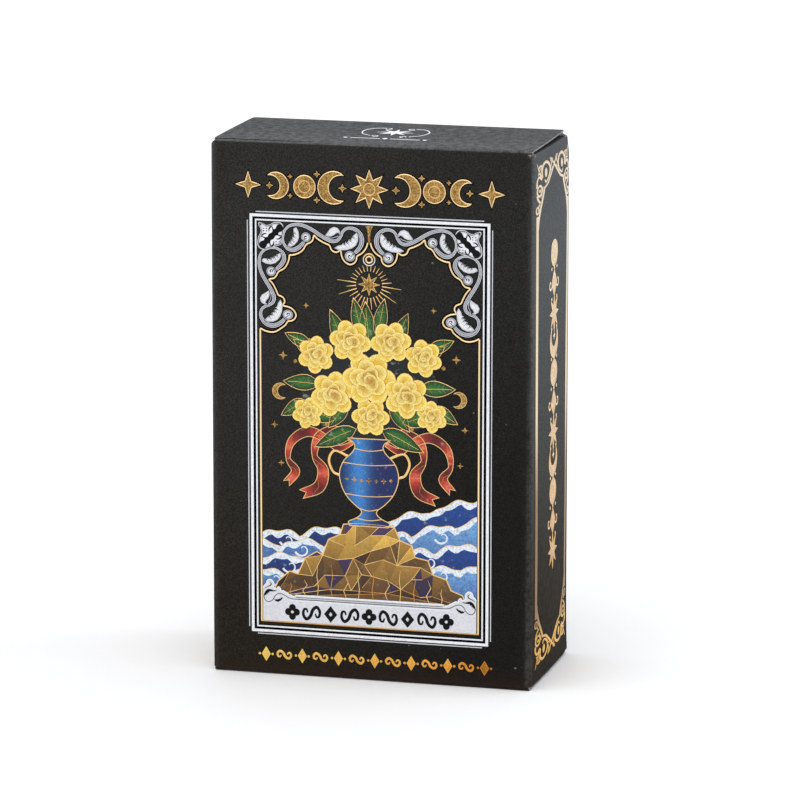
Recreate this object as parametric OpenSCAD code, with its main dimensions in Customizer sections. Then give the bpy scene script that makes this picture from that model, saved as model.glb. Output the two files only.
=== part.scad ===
// A 78-card tarot deck in an upright folding carton with a tuck closure at each end.
// Origin: middle of the carton's base. X to the right, Y from front to back, Z up. Millimetres.

/* [Carton] */
// Outer width of the carton, left to right
box_w = 76; // [75.5:0.5:80]
// Outer depth of the carton, front to back
box_d = 36; // [35.5:0.5:40]
// Outer height of the carton
box_h = 126; // [125.5:0.5:132]
// Thickness of the laminated board
board_t = 0.5; // [0.4:0.05:0.6]
// Outer radius of the four vertical folds
fold_r = 1; // [0.8:0.1:1.4]
// Width of the glue flap inside the sleeve
glue_w = 12; // [8:1:16]
// How far the back panel's top corners are cut down
back_corner = 3; // [1.5:0.5:4]

/* [Closures] */
// Gap between a closure panel's edge and the side of the carton at the hinge
lid_play_front = 0.3; // [0.2:0.1:0.6]
// The same gap at the tuck fold
lid_play_back = 1.1; // [0.8:0.1:1.6]
// Length of the tuck tongue
tongue_len = 12; // [8:0.5:12]
// Angle by which the tucked tongue leans in from the back panel
tongue_lean = 8; // [6:0.5:8]
// Radius of the tongue's two free corners
tongue_r = 6; // [3:0.5:7]
// Length of a dust flap from its crease to its tip
dust_len = 20; // [14:1:24]
// Taper of a dust flap's front edge, so that it clears the opening lid
dust_taper = 0.8; // [0.8:0.05:1]

/* [Cards] */
// Width of a card
card_w = 70; // [68:0.5:70]
// Height of a card
card_h = 120; // [116:0.5:120]
// Thickness of a card
card_t = 0.36; // [0.3:0.01:0.36]
// Air between neighbouring cards
card_air = 0.012; // [0.01:0.001:0.014]
// Radius of a card's corners
card_r = 4.5; // [3:0.5:6]
// How unevenly the cards are stacked
card_jitter = 0.12; // [0:0.02:0.2]

/* [Booklet] */
// Width of the booklet
book_w = 66; // [60:1:67]
// Height of the booklet
book_h = 110; // [100:1:112]
// Thickness of the booklet
book_t = 2.5; // [1.5:0.1:2.5]
// Thickness of its cover
cover_t = 0.25; // [0.2:0.05:0.3]

/* [Hidden] */
$fn = 48;

board_colour = [0.13, 0.13, 0.13];
inside_colour = [0.82, 0.8, 0.76];
card_colour = [0.9, 0.88, 0.83];

t = board_t;
hw = box_w / 2;
hd = box_d / 2;
layer = 0.1;                    // air between a closure panel and the dust flaps under it
bead = t / 2 - 0.02;            // radius of the rounded board edge that each crease turns on
hinge_y = -hd + t / 2;          // creases of both closure panels
hinge_z = box_h - t / 2;
tuck_y = hd - t - 0.15 - t / 2; // tuck fold of a closure panel
dust_x = hw - t / 2;            // creases of the dust flaps
dust_z = box_h - t - layer - t / 2;
lid_gap = 0.55;                 // from a closure panel's crease axis to its own edge
tongue_gap = 0.55;
dust_gap = 0.4;
side_lo = box_h - dust_z;       // the side panels end lower than the front one, at both ends
foot = 0.02;                    // the bottom panel hangs clear of what the carton stands on

deck_z = 2 * t + layer + 0.1;   // the cards stand on the bottom dust flaps
book_y = -hd + t + 0.3;
pitch = card_t + card_air;
deck_y = book_y + book_t + 0.2;

// ---- outlines ----------------------------------------------------------------------------

function unit(v) = v / norm(v);

// points of a fillet of radius r at the corner p1
function fillet(p0, p1, p2, r, n) =
  let (a = unit(p0 - p1), b = unit(p2 - p1),
       half = acos(a * b) / 2,
       c = p1 + unit(a + b) * (r / sin(half)),
       s = p1 + a * (r / tan(half)),
       e = p1 + b * (r / tan(half)),
       a0 = atan2(s[1] - c[1], s[0] - c[0]),
       a1 = atan2(e[1] - c[1], e[0] - c[0]),
       turn = a1 - a0 > 180 ? a1 - a0 - 360 : a1 - a0 < -180 ? a1 - a0 + 360 : a1 - a0)
  [for (i = [0:n]) c + r * [cos(a0 + turn * i / n), sin(a0 + turn * i / n)]];

// a polygon whose corner i has the radius rs[i]
function rounded(pts, rs, n = 10) =
  [for (i = [0:len(pts) - 1])
    each (rs[i] > 0
      ? fillet(pts[(i + len(pts) - 1) % len(pts)], pts[i], pts[(i + 1) % len(pts)], rs[i], n)
      : [pts[i]])];

// ---- carton ------------------------------------------------------------------------------

// a rounded board edge along X, of the given length
module bead_x(len, y, z) translate([-len / 2, y, z]) rotate([0, 90, 0]) cylinder(r = bead, h = len);
// the same along Y
module bead_y(len, x, z) translate([x, len / 2, z]) rotate([90, 0, 0]) cylinder(r = bead, h = len);

// one vertical fold, a quarter of a tube, at the corner with these signs
module corner_fold(sx, sy, z0, z1)
  translate([sx * (hw - fold_r), sy * (hd - fold_r), z0])
    rotate([0, 0, sx > 0 ? (sy > 0 ? 0 : 270) : (sy > 0 ? 90 : 180)])
      rotate_extrude(angle = 90) translate([fold_r - t, 0]) square([t, z1 - z0]);

module front_panel() color(board_colour) {
  translate([-hw + fold_r, -hd, t / 2]) cube([box_w - 2 * fold_r, t, box_h - t]);
  bead_x(box_w - 2 * fold_r, hinge_y, hinge_z);
  bead_x(box_w - 2 * fold_r, hinge_y, box_h - hinge_z);
  for (sx = [-1, 1]) corner_fold(sx, -1, side_lo, box_h - side_lo);
}

// the back panel's upper corners are cut down on a curve
module back_panel() color(board_colour) {
  translate([0, hd, 0]) rotate([90, 0, 0]) linear_extrude(t)
    polygon(rounded([[-hw + fold_r, 0], [hw - fold_r, 0], [hw - fold_r, box_h - t],
                     [-hw + fold_r, box_h - t]], [0, 0, back_corner, back_corner]));
  for (sx = [-1, 1]) corner_fold(sx, 1, side_lo, box_h - t - back_corner);
}

module side_panel() {
  translate([hw - t, -hd + fold_r, side_lo]) cube([t, box_d - 2 * fold_r, box_h - 2 * side_lo]);
  bead_y(box_d - 2 * fold_r, dust_x, dust_z);
  bead_y(box_d - 2 * fold_r, dust_x, box_h - dust_z);
}
module left_panel() color(board_colour) mirror([1, 0, 0]) side_panel();
module right_panel() color(board_colour) side_panel();

module glue_flap() color(inside_colour)
  translate([-hw + t, 0, 0]) rotate([90, 0, 90]) linear_extrude(t)
    polygon([[hd - fold_r, 6], [hd - fold_r, box_h - 6],
             [hd - fold_r - glue_w, box_h - 12], [hd - fold_r - glue_w, 12]]);

// ---- closures, drawn for the top end ------------------------------------------------------

module lid() {
  translate([0, 0, box_h - t]) linear_extrude(t)
    polygon([[-hw + lid_play_front, hinge_y + lid_gap], [hw - lid_play_front, hinge_y + lid_gap],
             [hw - lid_play_back, tuck_y], [-hw + lid_play_back, tuck_y]]);
  bead_x(box_w - 2 * lid_play_back, tuck_y, hinge_z);
}

module tongue()
  translate([0, tuck_y, hinge_z]) rotate([-tongue_lean, 0, 0])
    translate([0, t / 2, 0]) rotate([90, 0, 0]) linear_extrude(t)
      polygon(rounded([[-hw + lid_play_back + 1.2, -tongue_gap], [-hw + lid_play_back + 2.6, -tongue_len],
                       [hw - lid_play_back - 2.6, -tongue_len], [hw - lid_play_back - 1.2, -tongue_gap]],
                      [0, tongue_r, tongue_r, 0]));

// right dust flap: s runs from its crease towards the middle of the carton
module dust_flap()
  translate([dust_x, 0, dust_z - t / 2]) linear_extrude(t)
    polygon(rounded([[-dust_gap, hinge_y + 0.5 + dust_taper * dust_gap],
                     [-dust_gap, tuck_y - 0.9],
                     [-dust_len, tuck_y - 0.9 - 0.17 * dust_len],
                     [-dust_len, hinge_y + 0.5 + dust_taper * dust_len]],
                    [0, 0, 3, 2]));

// the same parts at the bottom end
module at_bottom() translate([0, 0, box_h]) mirror([0, 0, 1]) children();

module top_lid() color(board_colour) lid();
module top_tongue() color(board_colour) tongue();
module top_right_dust_flap() color(board_colour) dust_flap();
module top_left_dust_flap() color(board_colour) mirror([1, 0, 0]) dust_flap();
module bottom_lid() color(board_colour) translate([0, 0, foot]) at_bottom() lid();
module bottom_tongue() color(board_colour) translate([0, 0, foot]) at_bottom() tongue();
module bottom_right_dust_flap() color(board_colour) at_bottom() dust_flap();
module bottom_left_dust_flap() color(board_colour) mirror([1, 0, 0]) at_bottom() dust_flap();

// ---- cards, numbered from the front of the stack ------------------------------------------

module card(n)
  color(card_colour)
    translate([card_jitter * sin(n * 137.5), deck_y + n * pitch + card_t,
               deck_z + card_jitter * (1 + sin(n * 97.3)) / 2])
      rotate([90, 0, 0]) linear_extrude(card_t)
        polygon(rounded([[-card_w / 2, 0], [card_w / 2, 0], [card_w / 2, card_h], [-card_w / 2, card_h]],
                        [card_r, card_r, card_r, card_r]));

module pip_cards(first) for (i = [0:9]) card(first + i);

module major_card_00() card(0);
module major_card_01() card(1);
module major_card_02() card(2);
module major_card_03() card(3);
module major_card_04() card(4);
module major_card_05() card(5);
module major_card_06() card(6);
module major_card_07() card(7);
module major_card_08() card(8);
module major_card_09() card(9);
module major_card_10() card(10);
module major_card_11() card(11);
module major_card_12() card(12);
module major_card_13() card(13);
module major_card_14() card(14);
module major_card_15() card(15);
module major_card_16() card(16);
module major_card_17() card(17);
module major_card_18() card(18);
module major_card_19() card(19);
module major_card_20() card(20);
module major_card_21() card(21);
module wands_pip_cards() pip_cards(22);
module wands_page_card() card(32);
module wands_knight_card() card(33);
module wands_queen_card() card(34);
module wands_king_card() card(35);
module cups_pip_cards() pip_cards(36);
module cups_page_card() card(46);
module cups_knight_card() card(47);
module cups_queen_card() card(48);
module cups_king_card() card(49);
module swords_pip_cards() pip_cards(50);
module swords_page_card() card(60);
module swords_knight_card() card(61);
module swords_queen_card() card(62);
module swords_king_card() card(63);
module pentacles_pip_cards() pip_cards(64);
module pentacles_page_card() card(74);
module pentacles_knight_card() card(75);
module pentacles_queen_card() card(76);
module pentacles_king_card() card(77);

// ---- booklet, its spine on the left -------------------------------------------------------

wire = 0.4;
staple_len = 12;
leg = 1.4;

// section of a folded stack of sheets with a round spine at x = x0
function folded(x0, x1, y0, y1) =
  rounded([[x1, y0], [x1, y1], [x0, y1], [x0, y0]],
          [0, 0, (y1 - y0) / 2 - 0.01, (y1 - y0) / 2 - 0.01]);

// room for the staples, grown by g
module staple_room(g)
  for (s = [-1, 1]) translate([-book_w / 2, book_y + book_t / 2, deck_z + book_h / 2 + s * 28]) {
    translate([-wire - 0.05 - g, -wire / 2 - g, -staple_len / 2 - g])
      cube([wire + 2 * g, wire + 2 * g, staple_len + 2 * g]);
    for (e = [-1, 1]) translate([-wire - 0.05 - g, -wire / 2 - g, e * (staple_len / 2 - wire / 2) - wire / 2 - g])
      cube([leg + 2 * g, wire + 2 * g, wire + 2 * g]);
  }

module booklet_cover() color([0.16, 0.15, 0.17]) difference() {
  translate([0, 0, deck_z]) linear_extrude(book_h) difference() {
    polygon(folded(-book_w / 2, book_w / 2, book_y, book_y + book_t));
    polygon(folded(-book_w / 2 + cover_t, book_w / 2 + 1, book_y + cover_t, book_y + book_t - cover_t));
  }
  staple_room(0.02);
}

module booklet_pages() color([0.93, 0.91, 0.86]) difference() {
  translate([0, 0, deck_z + 0.1]) linear_extrude(book_h - 0.2)
    polygon(folded(-book_w / 2 + cover_t + 0.03, book_w / 2 - 0.4,
                   book_y + cover_t + 0.03, book_y + book_t - cover_t - 0.03));
  staple_room(0.02);
}

module booklet_staples() color([0.75, 0.76, 0.78]) staple_room(0);

// ---- drawing ------------------------------------------------------------------------------

front_panel();
back_panel();
left_panel();
right_panel();
glue_flap();
top_lid();
top_tongue();
top_left_dust_flap();
top_right_dust_flap();
bottom_lid();
bottom_tongue();
bottom_left_dust_flap();
bottom_right_dust_flap();
major_card_00();
major_card_01();
major_card_02();
major_card_03();
major_card_04();
major_card_05();
major_card_06();
major_card_07();
major_card_08();
major_card_09();
major_card_10();
major_card_11();
major_card_12();
major_card_13();
major_card_14();
major_card_15();
major_card_16();
major_card_17();
major_card_18();
major_card_19();
major_card_20();
major_card_21();
wands_pip_cards();
wands_page_card();
wands_knight_card();
wands_queen_card();
wands_king_card();
cups_pip_cards();
cups_page_card();
cups_knight_card();
cups_queen_card();
cups_king_card();
swords_pip_cards();
swords_page_card();
swords_knight_card();
swords_queen_card();
swords_king_card();
pentacles_pip_cards();
pentacles_page_card();
pentacles_knight_card();
pentacles_queen_card();
pentacles_king_card();
booklet_cover();
booklet_pages();
booklet_staples();
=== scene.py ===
import math

import bpy
import numpy as np
from mathutils import Matrix, Vector
from mathutils.geometry import delaunay_2d_cdt


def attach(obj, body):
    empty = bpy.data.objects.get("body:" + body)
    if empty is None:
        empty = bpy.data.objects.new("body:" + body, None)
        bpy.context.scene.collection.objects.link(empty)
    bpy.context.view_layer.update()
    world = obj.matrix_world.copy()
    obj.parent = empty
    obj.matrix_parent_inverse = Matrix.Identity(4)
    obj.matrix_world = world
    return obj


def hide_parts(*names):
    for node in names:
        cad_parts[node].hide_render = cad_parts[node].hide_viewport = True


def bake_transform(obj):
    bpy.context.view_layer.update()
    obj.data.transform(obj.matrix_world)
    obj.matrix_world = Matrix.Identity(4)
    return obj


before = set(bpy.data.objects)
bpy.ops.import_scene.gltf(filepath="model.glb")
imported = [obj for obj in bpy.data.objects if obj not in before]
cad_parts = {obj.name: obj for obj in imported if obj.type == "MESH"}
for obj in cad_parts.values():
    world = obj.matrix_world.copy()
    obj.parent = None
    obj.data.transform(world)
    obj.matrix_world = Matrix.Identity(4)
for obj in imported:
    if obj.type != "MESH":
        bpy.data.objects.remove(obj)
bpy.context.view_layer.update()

# All drawing below is in millimetres in the CAD frame (origin at the middle of the carton's base,
# +X right, +Y from front to back, +Z up) and is turned into metres when a mesh is made.
MM = 0.001
W, D, H, T = 76.0, 36.0, 126.0, 0.5
RF = 1.0    # outside radius of the four upright folds
RC = 0.8    # outside radius of the folds at the ends


def lin(r, g, b):
    """An sRGB 0-255 colour as scene-linear values."""
    out = []
    for c in (r, g, b):
        c /= 255.0
        out.append(c / 12.92 if c <= 0.04045 else ((c + 0.055) / 1.055) ** 2.4)
    return tuple(out)


def sstep(t):
    t = np.clip(t, 0.0, 1.0)
    return t * t * (3.0 - 2.0 * t)


# ---------------------------------------------------------------- the board's small unevenness
def warp(p):
    """The carton's boards aren't perfectly flat: each wall is a little full, and the right wall stands off at its lower back corner."""
    p = np.array(p, float).reshape(-1, 3)
    x, y, z = p[:, 0], p[:, 1], p[:, 2]
    q = p.copy()
    v = np.sin(np.pi * np.clip(z / H, 0, 1))
    back = np.clip((y + 18.0) / 36.0, 0, 1)
    q[:, 0] += sstep((x - 20.0) / 17.0) * back * (0.88 - 0.34 * z / H + 0.36 * np.exp(-np.clip(z, 0, H) / 5.0)) * np.clip((H - z) / 5.0, 0, 1)
    q[:, 0] -= sstep((-x - 31.0) / 6.5) * (0.12 + 0.22 * np.clip(1 - z / H, 0, 1))
    # the lid's front crease stands a little proud
    q[:, 2] += (0.24 + 0.06 * sstep((x - 20.0) / 17.0)) * sstep((z - 112.0) / 14.0) * (1 - np.clip((y + 18.0) / 34.0, 0, 1))
    wf = sstep((-y - 14.0) / 3.0)
    ripple = 0.035 * np.sin(0.145 * x + 0.9) * np.sin(0.083 * z + 0.7) + 0.016 * np.sin(0.31 * x - 0.17 * z)
    edge = np.clip((38.0 - np.abs(x)) / 6.0, 0, 1) * np.clip(z / 8.0, 0, 1) * np.clip((H - z) / 8.0, 0, 1)
    q[:, 1] -= wf * (0.16 * np.sin(np.pi * np.clip((x + 38) / W, 0, 1)) * v + ripple * edge)
    wb = sstep((y - 14.0) / 3.0)
    q[:, 1] += wb * (0.20 * np.sin(np.pi * np.clip((x + 38) / W, 0, 1)) * v + ripple * edge)
    ed2 = np.clip((18.0 - np.abs(y)) / 5.0, 0, 1) * np.clip(z / 8.0, 0, 1) * np.clip((H - z) / 8.0, 0, 1)
    wr = sstep((np.abs(x) - 34.0) / 3.0) * np.sign(x)
    full = 0.35 + 0.65 * np.clip(np.minimum(z, H - z) / 10.0, 0, 1)
    side = 0.55 * np.sin(np.pi * np.clip((y + 18) / D, 0, 1)) * full + ed2 * 0.03 * np.sin(0.2 * y + 0.11 * z)
    q[:, 0] += wr * side
    return q


# ---------------------------------------------------------------- materials
def new_mat(name):
    m = bpy.data.materials.new(name)
    m.use_nodes = True
    nt = m.node_tree
    nt.nodes.clear()
    out = nt.nodes.new("ShaderNodeOutputMaterial")
    bsdf = nt.nodes.new("ShaderNodeBsdfPrincipled")
    nt.links.new(bsdf.outputs[0], out.inputs[0])
    return m, nt, bsdf


class Net:
    """Short names for the shader nodes used below."""

    def __init__(self, nt):
        self.nt = nt

    def add(self, kind, **kw):
        n = self.nt.nodes.new(kind)
        for k, v in kw.items():
            setattr(n, k, v)
        return n

    def link(self, a, b):
        self.nt.links.new(a, b)

    def place(self, name="rest"):
        n = self.add("ShaderNodeAttribute", attribute_name=name)
        return n.outputs["Vector"]

    def noise(self, vec, scale, detail=2.0, rough=0.5, out=0):
        n = self.add("ShaderNodeTexNoise")
        n.inputs["Scale"].default_value = scale
        n.inputs["Detail"].default_value = detail
        n.inputs["Roughness"].default_value = rough
        self.link(vec, n.inputs["Vector"])
        return n.outputs[out]

    def voronoi(self, vec, scale, feature="F1", out="Distance"):
        n = self.add("ShaderNodeTexVoronoi", feature=feature)
        n.inputs["Scale"].default_value = scale
        self.link(vec, n.inputs["Vector"])
        return n.outputs[out]

    def math(self, op, a, b=None, clamp=False):
        n = self.add("ShaderNodeMath", operation=op, use_clamp=clamp)
        for i, v in enumerate((a, b)):
            if v is None:
                continue
            if isinstance(v, (int, float)):
                n.inputs[i].default_value = v
            else:
                self.link(v, n.inputs[i])
        return n.outputs[0]

    def span(self, v, a, b, lo=0.0, hi=1.0, kind="SMOOTHSTEP"):
        n = self.add("ShaderNodeMapRange", interpolation_type=kind)
        n.inputs["From Min"].default_value = a
        n.inputs["From Max"].default_value = b
        n.inputs["To Min"].default_value = lo
        n.inputs["To Max"].default_value = hi
        self.link(v, n.inputs["Value"])
        return n.outputs["Result"]

    def mix(self, f, a, b, mode="MIX"):
        n = self.add("ShaderNodeMix", data_type="RGBA", blend_type=mode)
        for sock, v in (("Factor", f), ("A", a), ("B", b)):
            i = [s for s in n.inputs if s.name == sock and (s.type == ("VALUE" if sock == "Factor" else "RGBA"))][0]
            if isinstance(v, (int, float)):
                i.default_value = v
            elif isinstance(v, tuple):
                i.default_value = (*v, 1.0) if len(v) == 3 else v
            else:
                self.link(v, i)
        return [o for o in n.outputs if o.type == "RGBA"][0]

    def xyz(self, vec):
        n = self.add("ShaderNodeSeparateXYZ")
        self.link(vec, n.inputs[0])
        return n.outputs

    def bump(self, height, strength, dist, normal=None):
        n = self.add("ShaderNodeBump")
        n.inputs["Strength"].default_value = strength
        n.inputs["Distance"].default_value = dist
        self.link(height, n.inputs["Height"])
        if normal is not None:
            self.link(normal, n.inputs["Normal"])
        return n.outputs[0]


def board_black():
    """Black paperboard with a matt film: fine tooth, a slight brown cast, dust and rubbed folds, with a painted sheen
    on the lid and upper walls and painted shade towards the foot.
    """
    m, nt, b = new_mat("black_board")
    n = Net(nt)
    p = n.place()
    x, y, z = n.xyz(p)
    mottle = n.noise(p, 2900.0, 3.0, 0.60)
    cloud = n.noise(p, 45.0, 2.0, 0.5)
    speck = n.span(mottle, 0.30, 0.72)
    # front and back: painted shade, warmer and darker towards the foot and the right
    dim = n.mix(n.span(z, 0.004, 0.085), (0.0062, 0.0048, 0.0028), (0.0105, 0.0102, 0.0096))
    lit = n.mix(n.span(z, 0.004, 0.085), (0.0240, 0.0200, 0.0132), (0.0375, 0.0362, 0.0340))
    col = n.mix(speck, dim, lit)
    col = n.mix(n.math("MULTIPLY", n.span(cloud, 0.42, 0.7), 0.30), col, (0.0140, 0.0122, 0.0100))
    right_low_painted_shade = n.math("MULTIPLY", n.span(x, -0.030, 0.036), n.span(z, 0.126, 0.030, 0.28, 0.92))
    col = n.mix(right_low_painted_shade, col, n.mix(speck, (0.0022, 0.0020, 0.0018), (0.0110, 0.0105, 0.0095)))
    col = n.mix(n.span(z, 0.006, 0.0005, 0.0, 0.5), col, (0.022, 0.0095, 0.0055))
    # side walls: a painted sheen, greyer and paler towards the top, that fades through painted shade to brown at the
    # foot
    wall = n.span(n.math("ABSOLUTE", x), 0.0371, 0.0379)
    low = n.mix(speck, (0.0050, 0.0024, 0.0001), (0.0200, 0.0120, 0.0020))
    mid = n.mix(speck, (0.022, 0.0235, 0.0225), (0.074, 0.078, 0.075))
    high = n.mix(speck, (0.044, 0.048, 0.050), (0.100, 0.108, 0.112))
    flank_painted_light = n.mix(n.span(z, 0.012, 0.070), low, mid)
    flank_painted_light = n.mix(n.span(z, 0.055, 0.104), flank_painted_light, high)
    col = n.mix(wall, col, flank_painted_light)
    # lid: coarser grain, and a painted sheen that makes it much paler than the walls, a little paler still towards the
    # front fold
    deck = n.span(n.math("ADD", z, n.math("MULTIPLY", n.span(x, -0.008, 0.020), 0.00020)), 0.12545, 0.12595)
    coarse = n.math("ADD", n.math("MULTIPLY", n.noise(p, 620.0, 2.0, 0.5), 0.45), n.math("MULTIPLY", mottle, 0.55))
    grain = n.span(coarse, 0.36, 0.64)
    rear = n.mix(grain, (0.0155, 0.0163, 0.0172), (0.0840, 0.0868, 0.0902))
    fore = n.mix(grain, (0.0230, 0.0240, 0.0252), (0.1080, 0.1112, 0.1154))
    col = n.mix(deck, col, n.mix(n.span(y, 0.001, -0.0150), rear, fore))
    # dust: a few small pale specks
    cell = n.voronoi(p, 260.0)
    pick = n.noise(p, 70.0, 0.0)
    dust = n.math("MULTIPLY", n.span(cell, 0.085, 0.03), n.span(pick, 0.60, 0.66))
    col = n.mix(n.math("MULTIPLY", dust, 0.55), col, (0.30, 0.29, 0.27))
    cell2 = n.voronoi(p, 900.0)
    pick2 = n.noise(p, 240.0, 0.0)
    dust2 = n.math("MULTIPLY", n.span(cell2, 0.12, 0.05), n.span(pick2, 0.62, 0.68))
    col = n.mix(n.math("MULTIPLY", dust2, 0.3), col, (0.2, 0.195, 0.185))
    # rubbed folds: the attribute says how near a fold a point is, and noise breaks it up
    wear = n.add("ShaderNodeAttribute", attribute_name="wear").outputs["Fac"]
    fibre = n.noise(p, 900.0, 4.0, 0.65)
    long = n.noise(p, 120.0, 2.0, 0.6)
    rub = n.math("ADD", n.math("MULTIPLY", fibre, 0.55), n.math("MULTIPLY", long, 0.45))
    rub = n.math("MULTIPLY", n.span(n.math("ADD", rub, n.math("MULTIPLY", wear, 0.5)), 0.84, 1.06), wear)
    soft = n.math("MULTIPLY", n.math("MULTIPLY", wear, 0.13), n.span(fibre, 0.30, 0.66, 0.25, 1.0))
    col = n.mix(soft, col, (0.15, 0.14, 0.125))
    # creases: the film is stretched pale where the board turns, and the pale band is partly a painted highlight; a
    # negative crease is painted shadow, near black
    crease = n.add("ShaderNodeAttribute", attribute_name="crease").outputs["Fac"]
    painted_shadow = n.math("MULTIPLY", crease, -1.0, True)
    crease = n.math("MAXIMUM", crease, 0.0)
    pale = n.math("MULTIPLY", crease, n.span(n.math("ADD", n.math("MULTIPLY", fibre, 0.6), n.math("MULTIPLY", long, 0.4)), 0.34, 0.62, 0.15, 1.0))
    col = n.mix(pale, col, (0.135, 0.134, 0.130))
    # painted shadow: near black where the crease value is negative
    col = n.mix(painted_shadow, col, (0.0012, 0.0012, 0.0013))
    col = n.mix(rub, col, (0.40, 0.375, 0.33))
    n.link(col, b.inputs["Base Color"])
    rough = n.math("ADD", n.span(n.noise(p, 700.0, 2.0), 0.3, 0.7, 0.70, 0.80), n.math("MULTIPLY", rub, 0.25))
    n.link(rough, b.inputs["Roughness"])
    b.inputs["Specular IOR Level"].default_value = 0.11
    tooth = n.noise(p, 5200.0, 2.0, 0.6)
    grain = n.noise(p, 1700.0, 2.0, 0.5)
    h = n.math("ADD", n.math("MULTIPLY", tooth, 0.5), n.math("MULTIPLY", grain, 0.7))
    pit = n.noise(p, 950.0, 3.0, 0.6)
    nm = n.bump(pit, 0.32, 0.00010)
    n.link(n.bump(h, 0.35, 0.00004, nm), b.inputs["Normal"])
    return m


def board_edge():
    """Cut board edge: grey-white core with fibre lines."""
    m, nt, b = new_mat("board_cut_edge")
    n = Net(nt)
    p = n.place()
    f = n.noise(p, 2600.0, 4.0, 0.7)
    g = n.noise(p, 300.0, 2.0)
    col = n.mix(n.span(f, 0.3, 0.7), (0.20, 0.20, 0.20), (0.46, 0.46, 0.455))
    col = n.mix(n.math("MULTIPLY", n.span(g, 0.4, 0.7), 0.4), col, (0.10, 0.095, 0.09))
    n.link(col, b.inputs["Base Color"])
    b.inputs["Roughness"].default_value = 0.85
    b.inputs["Specular IOR Level"].default_value = 0.2
    n.link(n.bump(f, 0.6, 0.00005), b.inputs["Normal"])
    return m


def board_inside():
    """The uncoated back of the board: warm grey with flecks of pulp."""
    m, nt, b = new_mat("grey_board")
    n = Net(nt)
    p = n.place()
    f = n.noise(p, 1300.0, 5.0, 0.7)
    g = n.noise(p, 60.0, 3.0)
    col = n.mix(n.span(f, 0.3, 0.72), (0.40, 0.385, 0.36), (0.60, 0.585, 0.55))
    col = n.mix(n.math("MULTIPLY", n.span(g, 0.35, 0.7), 0.35), col, (0.47, 0.44, 0.39))
    fl = n.math("MULTIPLY", n.span(n.voronoi(p, 520.0), 0.09, 0.04), n.span(n.noise(p, 150.0, 0.0), 0.55, 0.62))
    col = n.mix(n.math("MULTIPLY", fl, 0.6), col, (0.12, 0.10, 0.08))
    n.link(col, b.inputs["Base Color"])
    b.inputs["Roughness"].default_value = 0.88
    b.inputs["Specular IOR Level"].default_value = 0.2
    n.link(n.bump(f, 0.5, 0.00006), b.inputs["Normal"])
    return m


def foil_gold(name="gold_foil"):
    """Hot-stamped gold: bright smooth rims and lines, a coarser darker grain inside the broad shapes (the tint's alpha)."""
    m, nt, b = new_mat(name)
    n = Net(nt)
    p = n.place()
    a = n.add("ShaderNodeAttribute", attribute_name="tint")
    grain = n.noise(p, 2600.0, 4.0, 0.72)
    big = n.noise(p, 620.0, 2.0, 0.5)
    mask = n.math("ADD", n.math("MULTIPLY", grain, 0.78), n.math("MULTIPLY", big, 0.22))
    dark = n.math("MULTIPLY", n.span(mask, 0.42, 0.58, 1.0, 0.0), a.outputs["Alpha"])
    shade = n.mix(n.math("MULTIPLY", dark, 0.86), a.outputs["Color"], (0.12, 0.058, 0.013))
    n.link(shade, b.inputs["Base Color"])
    b.inputs["Metallic"].default_value = 1.0
    n.link(n.span(mask, 0.3, 0.7, 0.40, 0.27), b.inputs["Roughness"])
    n.link(n.bump(mask, 0.45, 0.00003), b.inputs["Normal"])
    return m


def foil_silver():
    """White-silver print: slightly metallic, with a mottled lay."""
    m, nt, b = new_mat("silver_foil")
    n = Net(nt)
    p = n.place()
    a = n.add("ShaderNodeAttribute", attribute_name="tint")
    f = n.noise(p, 1900.0, 4.0, 0.65)
    fl = n.math("MULTIPLY", n.span(n.voronoi(p, 1100.0), 0.16, 0.06), n.span(n.noise(p, 330.0, 0.0), 0.52, 0.6))
    dark = n.mix(n.math("MULTIPLY", n.span(f, 0.62, 0.35), 0.16), a.outputs["Color"], (0.12, 0.125, 0.14))
    n.link(n.mix(n.math("MULTIPLY", n.math("MULTIPLY", fl, a.outputs["Alpha"]), 0.55), dark, (0.10, 0.10, 0.11)), b.inputs["Base Color"])
    b.inputs["Metallic"].default_value = 0.12
    b.inputs["Roughness"].default_value = 0.38
    n.link(n.bump(f, 0.25, 0.00003), b.inputs["Normal"])
    return m


def ink():
    """Printed colour: the tint broken up by the grain of the print, under a thin gloss."""
    m, nt, b = new_mat("picture_ink")
    n = Net(nt)
    p = n.place()
    a = n.add("ShaderNodeAttribute", attribute_name="tint")
    f = n.noise(p, 2400.0, 3.0, 0.7)
    g = n.noise(p, 800.0, 3.0, 0.6)
    lo = n.mix(0.62, a.outputs["Color"], (0.008, 0.008, 0.012))
    col = n.mix(n.math("MULTIPLY", n.span(f, 0.56, 0.34), a.outputs["Alpha"]), a.outputs["Color"], lo)
    hi = n.mix(0.45, a.outputs["Color"], (0.85, 0.85, 0.8))
    col = n.mix(n.math("MULTIPLY", n.math("MULTIPLY", n.span(g, 0.60, 0.74), a.outputs["Alpha"]), 0.55), col, hi)
    n.link(col, b.inputs["Base Color"])
    b.inputs["Roughness"].default_value = 0.42
    b.inputs["Specular IOR Level"].default_value = 0.35
    n.link(n.bump(f, 0.2, 0.00003), b.inputs["Normal"])
    return m


def shade_ink():
    """Dull ink for the dark parts of the prints."""
    m, nt, b = new_mat("shade_ink")
    n = Net(nt)
    p = n.place()
    a = n.add("ShaderNodeAttribute", attribute_name="tint")
    f = n.noise(p, 2400.0, 3.0, 0.7)
    n.link(n.mix(n.math("MULTIPLY", n.span(f, 0.58, 0.32), 0.35), a.outputs["Color"], (0.004, 0.004, 0.005)), b.inputs["Base Color"])
    b.inputs["Roughness"].default_value = 0.9
    b.inputs["Specular IOR Level"].default_value = 0.04
    n.link(n.bump(f, 0.2, 0.00003), b.inputs["Normal"])
    return m


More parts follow.
